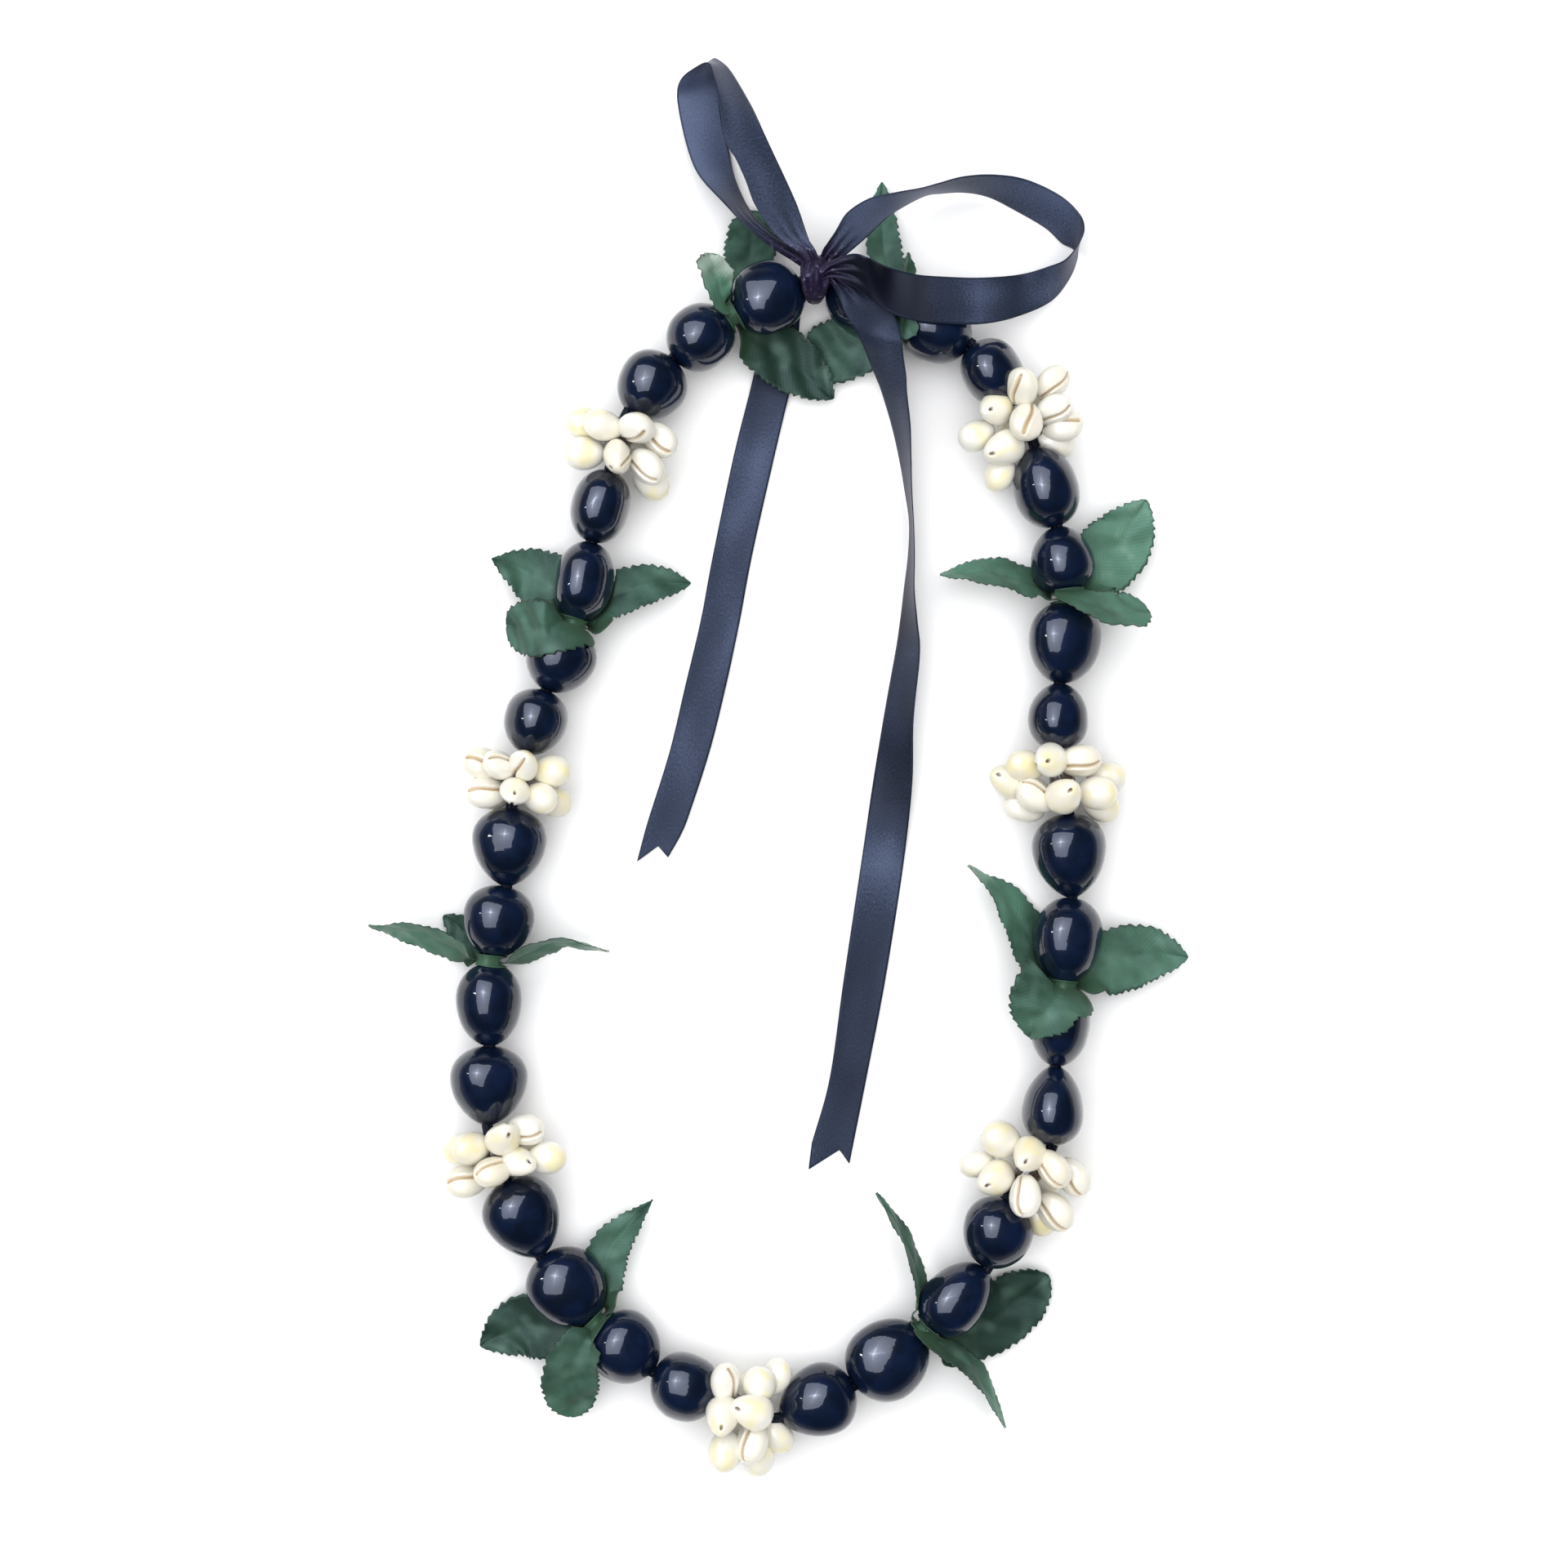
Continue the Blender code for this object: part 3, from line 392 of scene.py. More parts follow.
def navy_satin():
    """Navy satin: a ramp of clouds, threads and painted lustre added up, and dark selvedges.

    Where it is gathered, painted shade turns it violet, with lilac specks of painted glints.
    """
    made, shader, add = new_material(
        "satin ribbon, woven navy",
        Roughness=0.42, IOR=1.22, Anisotropic=0.3,
        Sheen_Weight=0.1, Sheen_Roughness=0.35, Sheen_Tint=linear("#b9a9cf"),
    )
    flat = add("UVMap", uv_map="UVMap")
    gather, lustre = (add("Attribute", attribute_name=mark, out="Fac") for mark in ("gather", "lustre"))
    fine = add("Mapping", {"Vector": flat, "Scale": (THREADS_ACROSS, 1.1, 1.0)})
    threads = add("TexNoise", {"Vector": fine, "Scale": 1.0, "Detail": 2.0})
    long = add("Mapping", {"Vector": flat, "Scale": (0.06, 0.022, 1.0)})
    slow = add("TexNoise", {"Vector": long, "Scale": 1.0, "Detail": 1.0})
    lightness = add("Math", {0: slow, 1: 0.8, 2: -0.7}, operation="MULTIPLY_ADD")
    lightness = add("Math", {0: threads, 1: 0.6, 2: lightness}, operation="MULTIPLY_ADD")
    # The lustre mark is painted sheen and shade, added to the satin's lightness.
    lightness = add("Math", {0: lightness, 1: lustre}, operation="ADD")
    blues = ((0.0, "#080b16"), (0.5, "#262e40"), (1.0, "#55607c"))
    colour = add("ValToRGB", {"Fac": lightness}, stops=blues)
    across = add("SeparateXYZ", {"Vector": flat}, out="X")
    outwards = add("Math", {0: across}, operation="ABSOLUTE")
    rim = {0: outwards, 1: 6.75, 2: 7.0, 3: 0.0, 4: 0.7}
    selvedge = add("MapRange", rim, interpolation_type="SMOOTHSTEP")
    place = add("TexCoord", out="Object")
    # Painted glints: lilac specks, brighter where the painted lustre is higher.
    specks = add("TexNoise", {"Vector": place, "Scale": 620.0, "Detail": 3.0})
    painted_lilac_glints = add("MapRange", {0: specks, 1: 0.57, 2: 0.75, 3: 0.0, 4: 0.5}, interpolation_type="SMOOTHSTEP")
    lit = add("Math", {0: lustre, 1: 1.2, 2: 0.5}, operation="MULTIPLY_ADD")
    painted_lilac_glints = add("Math", {0: painted_lilac_glints, 1: lit}, operation="MULTIPLY")
    # Painted shade of the gathered folds: dark violet, with the painted glints over it.
    violet_painted_shade = linear("#1d172c")
    layers = ((selvedge, colour, linear("#18202f")), (painted_lilac_glints, violet_painted_shade, linear("#8680a2")))
    satin, folds = (add("Mix", {0: m, 6: a, 7: b}, out=2, data_type="RGBA") for m, a, b in layers)
    colour = add("Mix", {0: gather, 6: satin, 7: folds}, out=2, data_type="RGBA")
    bump = add("Bump", {"Height": threads, "Strength": 0.08, "Distance": 0.0002})
    link(shader, Base_Color=colour, Normal=bump)
    return made


ribbon_finish = navy_satin()
print("made", ribbon_finish.name)

# %% [markdown]
# ## The string
#
# Everything is threaded on one gathered ribbon, so its route orders the whole lei: from the knot down the
# left side and up the right side. Each point below is where two neighbours on the string meet. Seven of the
# spans between them hold cowries, the other thirty hold a nut each, and leaf sprigs are threaded at eight
# of the points.

# %% Where the string runs
STRING = np.array((
    (8.7, 165.5, 15.4), (-16.8, 154.0, 14.4), (-37.3, 139.0, 11.4), (-53.3, 119.5, 12.6),
    (-59.3, 100.0, 13.5), (-65.8, 74.5, 12.8), (-71.8, 46.0, 11.9), (-81.8, 22.5, 11.7), (-89.3, 0.0, 13.1),
    (-93.8, -18.0, 12.4), (-95.8, -46.0, 10.7), (-101.8, -72.0, 11.3), (-101.8, -102.0, 11.2),
    (-102.3, -130.5, 12.2), (-95.8, -148.5, 12.3), (-83.8, -176.0, 10.2), (-64.8, -199.5, 10.1),
    (-44.3, -216.5, 10.8), (-21.3, -226.5, 12.6), (-0.5, -232.5, 12.6), (26.2, -221.5, 10.3),
    (51.2, -202.0, 10.9), (72.7, -180.0, 11.8), (80.2, -154.5, 12.6), (95.2, -137.5, 13.5),
    (96.7, -109.0, 12.8), (99.7, -81.0, 12.0), (102.7, -50.0, 11.0), (101.2, -20.0, 12.3), (97.2, 1.0, 13.4),
    (98.2, 25.0, 11.8), (101.7, 55.0, 11.6), (97.2, 80.0, 12.2), (89.2, 108.5, 13.1), (81.7, 124.5, 13.2),
    (67.2, 144.0, 12.1), (41.7, 154.0, 11.4), (16.2, 165.5, 11.1),
))
BUNCHES = (3, 8, 13, 18, 23, 28, 33)
SPRIGS = (1, 6, 11, 16, 21, 26, 31, 36)
NUT_SPANS = [i for i in range(len(STRING) - 1) if i not in BUNCHES]


def directions(a, b):
    """Three directions square to each other: from a to b, level across it, and mostly upwards."""
    axis = unit(b - a)
    side = unit(np.cross((0, 0, 1), axis))
    return axis, side, np.cross(axis, side)


print("nuts:", len(NUT_SPANS), "bunches:", len(BUNCHES), "sprigs:", len(SPRIGS))

# %% [markdown]
# ## Nuts
#
# A kukui nut is a squat, slightly lobed ball. A sphere that is scaled would be too regular: each reflection
# would look the same. So every nut is a surface of its own. Its radius falls to the bored ends along one
# profile, fuller at one end on some nuts, and low lobes and shallow dents are added with seeded chance.
# Length, width and place are measured on the solid that the nut replaces.

# %% Measure the nuts
# How much narrower each nut is at its second end, in order along the string. Below 0 the first end is the
# narrower one.
NUT_TAPERS = (
    0, -0.2, 1, 0, 0, 1, 1, 2, 1, 1, 2, 2, 1, 1, 0, -2, 1, 1, -1, 2, -1, -1, -2, 1, -1, 1, 1, 0, 0, 0,
)
INTO_THE_CARD = 0.1


def node_points(name):
    """The corners of a node's mesh, in millimetres."""
    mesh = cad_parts[name].data
    flat = np.empty(len(mesh.vertices) * 3, np.float32)
    mesh.vertices.foreach_get("co", flat)
    matrix = np.array(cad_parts[name].matrix_world)
    return (flat.reshape(-1, 3) @ matrix[:3, :3].T + matrix[:3, 3]) / MM


def measure_nut(number, first):
    """Where a nut lies and its half sizes: its solid's reach along the string and across it.

    Every nut but the first reaches down to the card, 0.1 mm into it, where it is cut flat.
    """
    name = f"nut_{number:02d}"
    axis, side, up = directions(STRING[first], STRING[first + 1])
    corners = node_points(name)
    middle = (STRING[first] + STRING[first + 1]) / 2
    along = (corners - middle) @ axis
    middle = middle + axis * (along.max() + along.min()) / 2
    above = (corners - middle) @ up
    return {
        "node": name,
        "centre": middle,
        "axis": axis,
        "side": side,
        "up": up,
        "half_length": (along.max() - along.min()) / 2,
        "half_width": np.abs((corners - middle) @ side).max(),
        "half_height": middle[2] + INTO_THE_CARD if number > 1 else np.abs(above).max(),
        "taper": NUT_TAPERS[number - 1],
    }


nuts = [measure_nut(number + 1, first) for number, first in enumerate(NUT_SPANS)]
sizes = np.array([(n["half_length"], n["half_width"], n["half_height"]) for n in nuts]) * 2
print("nuts are", sizes.mean(axis=0).round(1), "mm long, wide and high on average")

# %% Make the nuts
ROUNDNESS = 2.3
RIM_RADIUS = 3.0
# The edge of a bore, inwards from the end of the nut: how deep, and how far from the axis there.
LIP_DEPTHS = (0.12, 0.5, 1.4, 3.0)
LIP_RADII = (2.62, 2.38, 2.3, 2.3)
DENTS = 7
NUT_ROWS = 46
NUT_COLUMNS = 64
NUT_OVER_CARD = 0.03
NUT_SEED = 100
# The profile's share of the solid's length, so that it ends just inside the edges of the bore.
PROFILE_LENGTH = 0.998


def nut_radius(t, taper):
    """Radius as a share of the widest, at t from -1 to 1: root of 1 - |t| to the 2.3, times the taper."""
    round_part = np.sqrt(1 - np.abs(t) ** ROUNDNESS)
    return round_part * (1 - 0.10 * taper * t - 0.05 * abs(taper) * t * t)


def nut_rings(nut, seed):
    """Rings of a nut: the profile, times 1 + lobes - dents, then the edge of the bore turned inwards.

    The lobes are cosines of 2, 3 and 5 times the angle. A dent is exp(-d squared), d its distance in the
    dent's own widths, and up to 1.8 % of the radius deep.
    """
    chance = np.random.default_rng(seed)
    reach = (1 - (RIM_RADIUS / nut["half_width"]) ** 2) ** (1 / ROUNDNESS)
    v = np.linspace(np.arccos(reach), np.pi - np.arccos(reach), NUT_ROWS)
    t = -np.cos(v)
    angle = np.linspace(0, 2 * np.pi, NUT_COLUMNS, endpoint=False)
    turn, lean = chance.uniform(0, 2 * np.pi, (2, 3))
    lobes = (
        0.018 * np.cos(2 * angle + turn[0])
        + 0.014 * np.cos(3 * angle + turn[1] + 0.8 * t[:, None])
        + 0.007 * np.cos(5 * angle + turn[2] + 1.5 * t[:, None])
        + 0.012 * np.cos(3 * v[:, None] + lean[0]) * np.cos(angle + lean[1])
    )
    spots = chance.uniform((0, -0.7), (2 * np.pi, 0.7), (DENTS, 2))
    apart = np.abs(angle[None, :, None] - spots[None, None, :, 0])
    apart = np.minimum(apart, 2 * np.pi - apart)
    near = (apart / 0.34) ** 2 + ((t[:, None, None] - spots[None, None, :, 1]) / 0.26) ** 2
    dents = (np.exp(-near) * chance.uniform(0.006, 0.018, DENTS)).sum(axis=2)
    share = nut_radius(t, nut["taper"])[:, None] * (1 + np.sin(v)[:, None] * (lobes - dents))
    inner = np.array(LIP_RADII)[:, None] * np.ones((1, NUT_COLUMNS))
    wide = np.concatenate((inner[::-1], share * nut["half_width"], inner))
    high = np.concatenate((inner[::-1], share * nut["half_height"], inner))
    end, lip = nut["half_length"], np.array(LIP_DEPTHS)
    along = np.concatenate((lip[::-1] - end, t * end / reach * PROFILE_LENGTH, end - lip))
    line = nut["centre"] + along[:, None, None] * nut["axis"]
    rings = round_a_line(line, nut["side"], nut["up"], angle, wide, high)
    rings[..., 2] = np.maximum(rings[..., 2], NUT_OVER_CARD)
    return rings


for number, nut in enumerate(nuts, start=1):
    rings = nut_rings(nut, NUT_SEED + number)
    points, faces = closed_body(rings)
    make_piece(f"kukui_nut_{number:02d}", points, faces, nut_finish, [nut["node"]])
print("made", len(nuts), "nuts of", sum(len(block) for block in faces), "faces each")

# %% [markdown]
# ## The gathered ribbon inside the nuts
#
# Between two nuts a little of the string shows. It is the ribbon itself, gathered into a cord of about
# 4 mm, so it is a tube along the string with six soft pleats. They make nine turns on the way round the lei,
# because a ribbon that is pulled through bores doesn't stay straight.

# %% Gathered ribbon
STRING_RADIUS = 1.85
STRING_PLEATS = 6
STRING_TURNS = 9.0
GATHERED_WIDTH = 12.0
STRING_ROWS = 700
STRING_COLUMNS = 36


def gathered(route):
    """Rings round a route: radius times 1 + 0.16 cos(pleats times (angle + turns along the route))."""
    tangent = unit(np.gradient(route, axis=0))[:, None]
    side = unit(np.cross((0, 0, 1), tangent))
    angle = np.linspace(0, 2 * np.pi, STRING_COLUMNS, endpoint=False)
    twist = np.linspace(0, 2 * np.pi * STRING_TURNS, len(route))[:, None]
    size = STRING_RADIUS * (1 + 0.16 * np.cos(STRING_PLEATS * (angle + twist)))
    return round_a_line(route[:, None], side, np.cross(tangent, side), angle, size, size)


def cloth_places(rings, length):
    """UV of a closed body of gathered cloth, in millimetres: across the ribbon round it, and along it."""
    rows, columns = rings.shape[:2]
    around = np.tile(np.linspace(-GATHERED_WIDTH / 2, GATHERED_WIDTH / 2, columns), rows)
    along = np.repeat(np.linspace(0, length, rows), columns)
    return np.stack((np.append(around, (0, 0)), np.append(along, (0, length))), axis=1)


route = evenly(through(STRING, steps=8), STRING_ROWS)
rings = gathered(route)
points, faces = closed_body(rings, route[[0, -1]])
length = np.linalg.norm(np.diff(route, axis=0), axis=1).sum()
uv = cloth_places(rings, length)
make_piece("gathered_ribbon", points, faces, ribbon_finish, ["strand"], uv=uv)
print("the string is", round(length), "mm long")

# %% [markdown]
# ## Cowries
#
# A cowrie is an egg with a flatter side, along which its slit runs from end to end between two toothed lips.
# One such egg is made on a grid whose lines crowd together at the slit and along the back, where the drilled
# hole is, and every shell of a bunch is a turned copy of it. The shells of a bunch are tied to a core of
# wound thread, so core and shells are one piece of the lei.

# %% One cowrie
SHELL_LENGTH = 15.2
SHELL_WIDTH = 11.9
SHELL_HEIGHT = 10.3
SHELL_TEETH = 13
SHELL_ROWS = 56
SHELL_COLUMNS = 44


def cowrie():
    """A cowrie from its root at 0 to its tip at its length, with its slit facing +Z, and its marks.

    The ring at x has radius sin(f), where x = (1 - cos f) / 2. Round the ring the angle v is
    w - 0.75 sin(2 pi w) / (2 pi), times pi, so that lines crowd at the slit, v = 0, and at the back, v = pi.
    """
    f = np.linspace(0.05, np.pi - 0.05, SHELL_ROWS)[:, None]
    w = np.linspace(-1, 1, SHELL_COLUMNS, endpoint=False)[None, :]
    x = (1 - np.cos(f)) / 2
    v = np.pi * (w - 0.75 * np.sin(2 * np.pi * w) / (2 * np.pi))
    radius = np.sin(f)
    across = np.sin(v) * radius * SHELL_WIDTH / 2
    lift = np.cos(v) * (0.91 - 0.09 * np.cos(v)) * radius * SHELL_HEIGHT / 2
    front = step_up(np.cos(v), 0.0, 0.3)
    slit_at = across - 0.45 * np.sin(2 * np.pi * (x - 0.08))
    both_ends = step_up(x, 0.015, 0.08) * step_up(1 - x, 0.015, 0.08)
    slit = np.exp(-np.abs(slit_at / 0.55) ** 2.5) * both_ends * front
    lip = np.exp(-((np.abs(slit_at) - 1.3) / 0.6) ** 2) * both_ends * front
    teeth = 0.5 + 0.5 * np.cos(2 * np.pi * SHELL_TEETH * x)
    lift = lift - 1.4 * slit + lip * (0.22 + 0.14 * teeth)
    # The hole is painted: a dark brown spot that stands for the shade inside it, over a shallow dent.
    hole_at = np.hypot((x - 0.87) * SHELL_LENGTH, across)
    hole = np.exp(-(hole_at / 0.8) ** 4) * (1 - front)
    points = np.stack(np.broadcast_arrays(x * SHELL_LENGTH, across, lift), axis=-1)
    body, faces = closed_body(points, ((0.0, 0.0, 0.0), (SHELL_LENGTH, 0.0, 0.0)))
    # The slit's brown: partly its own colour, partly painted shade in the groove and between the teeth.
    slit_colour_and_shade = np.clip(0.9 * slit + 0.15 * lip * (1 - teeth), 0, 1)
    back = step_up(-np.cos(v), 0.1, 0.8) * step_up(x, 0.1, 0.5)
    marks = {"slit": slit_colour_and_shade, "hole": hole, "back": back * np.ones_like(x)}
    return body, faces, {mark: np.append(values.ravel(), (0, 0)) for mark, values in marks.items()}


shell_points, shell_faces, shell_marks = cowrie()
print("one cowrie is", np.ptp(shell_points, axis=0).round(1), "mm long, wide and high")

# %% Where the cowries lie
# Each shell: the pixel over its middle, its place above or below the string (1 to -1), the direction that
# its slit faces as an azimuth from the photograph's right and an elevation, both in degrees, its size, and 1
# if it is drilled. Two more numbers are the direction of its tip in the same way: without them it points
# away from the string. What a row leaves out is as in the usual shell, which lies hidden under the others.
USUAL_SHELL = (0, 0, 0, 0, -60, 0.85, 0, np.nan, np.nan)
COWRIES = (
    (
        (739, 521, 0.9, 250, -60, 0.98, 0, 170, 25), (717, 519, 0.2, 180, -70, 0.95),
        (716, 555, 0.8, 200, -60, 1.0), (778, 525, 1.0, 250, 20, 1.06), (757, 561, 1.0, 51, -40, 0.98, 1),
        (807, 538, 0.5, 245, 60, 0.98, 0, -40, 15), (791, 571, 0.9, 225, 45, 1.0, 0, -42, 20),
        (797, 590, -0.3, 0, -60, 0.98), (738, 543, -1.0, 200), (782, 552, -1.0),
    ),
    (
        (592, 935, 0.4, 80, 75, 0.95), (613, 937, 0.9, 80, 55, 0.92), (641, 936, 1.0, 235, -40, 0.92, 1),
        (675, 944, 0.7, 0, -70, 0.95), (596, 970, 0.6, 85, 70, 0.98), (630, 971, 1.0, 246, -40, 0.9, 1),
        (661, 977, 0.9, 0, -60, 0.92), (677, 981, -0.3, 0, -60, 0.9), (606, 974, -0.9), (660, 947, -1.0),
        (612, 943, -1.0),
    ),
    (
        (642, 1384, 0.8, 275, 62, 1.0, 0, 8, 20), (617, 1392, 1.0, 105, -40, 1.03, 1),
        (577, 1406, 0.8, 180, -70, 0.97), (565, 1407, -0.4, 180, -60, 0.9),
        (604, 1434, 1.0, 90, 40, 0.95, 0, 200, 30), (636, 1424, 1.0, 245, -45, 0.95, 1),
        (669, 1418, 0.6, 0, -70, 0.97), (572, 1446, 0.4, 95, 62, 1.0, 0, 190, 15), (590, 1425, -1.0),
        (645, 1405, -1.0), (620, 1436, -1.0, 0, -60, 0.8),
    ),
    (
        (889, 1694, 0.8, 0, 45, 1.0, 0, 95, 25), (930, 1697, 0.9, 270, -50, 1.0, 0, 85, 25),
        (950, 1686, 0.2, 0, -60, 0.9), (920, 1728, 1.0, 340, -50, 1.05, 1, 158, 15),
        (885, 1735, 1.0, 262, -45, 1.0, 1, 262, 45), (888, 1776, 0.8, 90, -60, 1.0, 0, 262, 25),
        (921, 1765, 0.9, 170, 50, 1.05, 0, 255, 22), (929, 1782, -0.3, 90, -60, 0.95, 0, 262, 10),
        (950, 1757, -0.2, 0, -60, 0.95), (905, 1702, -1.0), (908, 1755, -1.0),
        (940, 1738, -0.3, 0, -60, 0.8),
    ),
    (
        (1227, 1396, 0.7, 330, -60, 1.08, 0, 150, 25), (1197, 1425, 0.1, 96, -40, 0.9, 0, 185, 20),
        (1218, 1443, 0.8, 30, -60, 1.03, 1, 200, 35), (1259, 1415, 1.0, 222, -40, 1.0, 1, 222, 50),
        (1289, 1431, 0.9, 230, 50, 1.0, 0, -50, 25), (1314, 1441, 0.1, 215, 60, 0.98, 0, -58, 12),
        (1255, 1464, 1.0, 190, 50, 1.02, 0, 268, 25), (1291, 1483, 0.5, 220, 55, 1.05, 0, -48, 15),
        (1272, 1491, -0.6, 0, -60, 0.92), (1240, 1430, -1.0), (1280, 1448, -1.0),
    ),
    (
        (1256, 938, 0.8, 90, -60, 0.98), (1234, 956, 0.2, 330, -45, 1.0, 1, 155, 25),
        (1285, 931, 1.0, 195, -35, 1.02, 1, 195, 55), (1322, 932, 0.8, 275, 62, 1.0, 0, 8, 15),
        (1269, 974, 0.7, 62, 50, 1.05, 0, 148, 15), (1304, 973, 1.0, 52, -40, 1.03, 1, 52, 50),
        (1342, 971, 0.7, 0, -70, 1.0), (1254, 988, -0.4, 75, 50, 1.0, 0, 162, 8),
        (1354, 953, -0.3, 0, -60, 0.95), (1348, 987, -0.5, 0, -60, 0.92), (1290, 975, -1.0),
    ),
    (
        (1251, 475, 0.9, 190, 55, 1.02), (1218, 501, 0.7, 205, -42, 1.0, 1, 205, 48),
        (1196, 533, 0.1, 180, -70, 0.9), (1229, 549, 0.8, 30, -40, 1.03, 1, 200, 15),
        (1225, 580, -0.3, 0, -60, 0.9), (1257, 516, 1.0, 60, 60, 1.0, 0, 255, 30),
        (1289, 503, 0.9, 310, 55, 0.95), (1288, 469, 0.4, 290, 50, 0.93),
        (1300, 521, 0.3, 95, 70, 1.0, 0, 10, 15), (1291, 542, -0.4, 0, -60, 0.95), (1238, 525, -1.0),
        (1270, 500, -1.0),
    ),
)
SHELL_MIDDLE_FROM_STRING = 9.8
LEAST_CLIMB = 5.5
LEAST_HEIGHT = 5.6
HEIGHT_ROUNDS = 5
CORE_RADIUS = 4.2
CORE_FROM = 0.12
CORE_TO = 0.85
CORE_RIDGE = 0.25
CORE_RIDGES = 12
CORE_ROWS = 30
CORE_COLUMNS = 36
HOLE_DEPTH = 0.9
SHELL_OVER_CARD = 0.15
SHELL_SEED = 200
# How far from the bunch's middle a shell is tied at most, and a drilled one.
TIED_WITHIN = 3.5
DRILLED_WITHIN = 0.5


def towards(azimuth, elevation):
    """Unit vectors from angles in degrees: (cos a cos e, sin a cos e, sin e)."""
    turn, rise = np.radians(azimuth), np.radians(elevation)
    return np.stack((np.cos(turn) * np.cos(rise), np.sin(turn) * np.cos(rise), np.sin(rise)), axis=1)


def thread_core(first):
    """The wound thread that holds a bunch: a tube round the string from 0.12 to 0.85 of the bunch's length.

    Its radius is 4.2 mm, less near both ends, plus 0.25 times the sine of (12 angles + 3 turns along it).
    """
    a, b = STRING[first], STRING[first + 1]
    _, side, up = directions(a, b)
    s = np.linspace(CORE_FROM, CORE_TO, CORE_ROWS)[:, None]
    w = np.linspace(0, 2 * np.pi, CORE_COLUMNS, endpoint=False)[None, :]
    narrower = np.minimum(1, 1.6 * np.sin(np.pi * s) ** 0.5)
    radius = CORE_RADIUS * narrower + CORE_RIDGE * np.sin(CORE_RIDGES * w + 6 * np.pi * s)
    return closed_body(round_a_line(a + s[..., None] * (b - a), side, up, w, radius, radius))


def place_cowries(rows, first):
    """Middle of each shell in millimetres, the directions of its tip and its slit, its size and its hole.

    A shell's middle lies under its pixel and 9.8 mm from the string. Its height over the string is the root
    of (9.8 squared - level distance squared), at least 5.5 mm, times the row's share. Which place is under
    a pixel depends on that height too, so both are worked out a few times over. A tip whose direction isn't
    given points away from where the shell is tied to the string.
    """
    table = filled(rows, USUAL_SHELL)
    a, b = STRING[first], STRING[first + 1]
    axis, side, _ = directions(a, b)
    middle = (a + b) / 2
    height = np.full(len(table), middle[2])
    for _ in range(HEIGHT_ROUNDS):
        places = at_pixel(table[:, 0], table[:, 1], height)
        level = (places - middle) @ side
        climb = np.sqrt(np.maximum(SHELL_MIDDLE_FROM_STRING ** 2 - level ** 2, LEAST_CLIMB ** 2))
        height = np.maximum(middle[2] + climb * table[:, 2], LEAST_HEIGHT)
    places = at_pixel(table[:, 0], table[:, 1], height)
    reach = np.where(table[:, 6] > 0, DRILLED_WITHIN, TIED_WITHIN)
    along = np.clip((places - middle) @ axis, -reach, reach)
    foot = middle + along[:, None] * axis
    given = np.isfinite(table[:, 7:8])
    tip = towards(np.nan_to_num(table[:, 7]), np.nan_to_num(table[:, 8]))
    outward = np.where(given, tip, unit(places - foot))
    facing = towards(table[:, 3], table[:, 4])
    facing = unit(facing - outward * (facing * outward).sum(axis=1)[:, None])
    return places, outward, facing, table[:, 5], table[:, 6]


def bunch_of_cowries(number, first, rows):
    """All shells of a bunch as one mesh: the cowrie's points turned by each shell's three directions."""
    places, outward, facing, size, drilled = place_cowries(rows, first)
    across = np.cross(facing, outward)
    turns = np.stack((outward, across, facing), axis=1)
    chance = np.random.default_rng(SHELL_SEED + number)
    fuller = np.where(drilled > 0, -0.5, 0.2) + chance.uniform(-0.1, 0.1, len(rows))
    local = np.repeat((shell_points - (SHELL_LENGTH / 2, 0, 0))[None], len(rows), axis=0)
    local[..., 2] += HOLE_DEPTH * shell_marks["hole"] * drilled[:, None]
    local[..., 1:] *= 1 + fuller[:, None, None] * local[..., :1] / SHELL_LENGTH
    local *= size[:, None, None]
    points = local @ turns + places[:, None]
    points[..., 2] += np.maximum(SHELL_OVER_CARD - points[..., 2].min(axis=1), 0)[:, None]
    count = len(shell_points)
    faces = [
        (block[None] + (np.arange(len(rows)) * count)[:, None, None]).reshape(-1, block.shape[1])
        for block in shell_faces
    ]
    marks = {mark: np.tile(values, len(rows)) for mark, values in shell_marks.items()}
    marks["hole"] *= np.repeat(drilled, count)
    marks["tone"] = np.repeat(chance.uniform(0, 1, len(rows)) ** 1.6, count)
    marks["thread"] = np.zeros(count * len(rows))
    core, core_faces = thread_core(first)
    faces += [block + count * len(rows) for block in core_faces]
    # The core is marked as thread, whose dark brown is partly painted shade of the gaps between shells.
    marks = {mark: np.append(values, np.full(len(core), mark == "thread")) for mark, values in marks.items()}
    points = np.concatenate((points.reshape(-1, 3), core))
    name = f"cowrie_bunch_{number}"
    make_piece(name, points, faces, cowrie_finish, [f"cowries_{number}"], marks=marks)


for number, (first, rows) in enumerate(zip(BUNCHES, COWRIES), start=1):
    bunch_of_cowries(number, first, rows)
    print("bunch", number, "has", len(rows), "cowries")

# %% [markdown]
# ## Leaves
#
# Each sprig has three cloth leaves, one of them four, and a strip of the same cloth wound round the string
# at its heart. A leaf is a sheet carried along its midrib: the midrib is a smooth curve through a few points
# of the photograph, and at each step the cloth reaches out to both sides by the half-width of a leaf there.
# The heated blade cut teeth about 3 mm apart into the rim. Where a leaf would pass through a nut, its points
# are moved straight out of the nut, so the cloth lies over it as it really does.

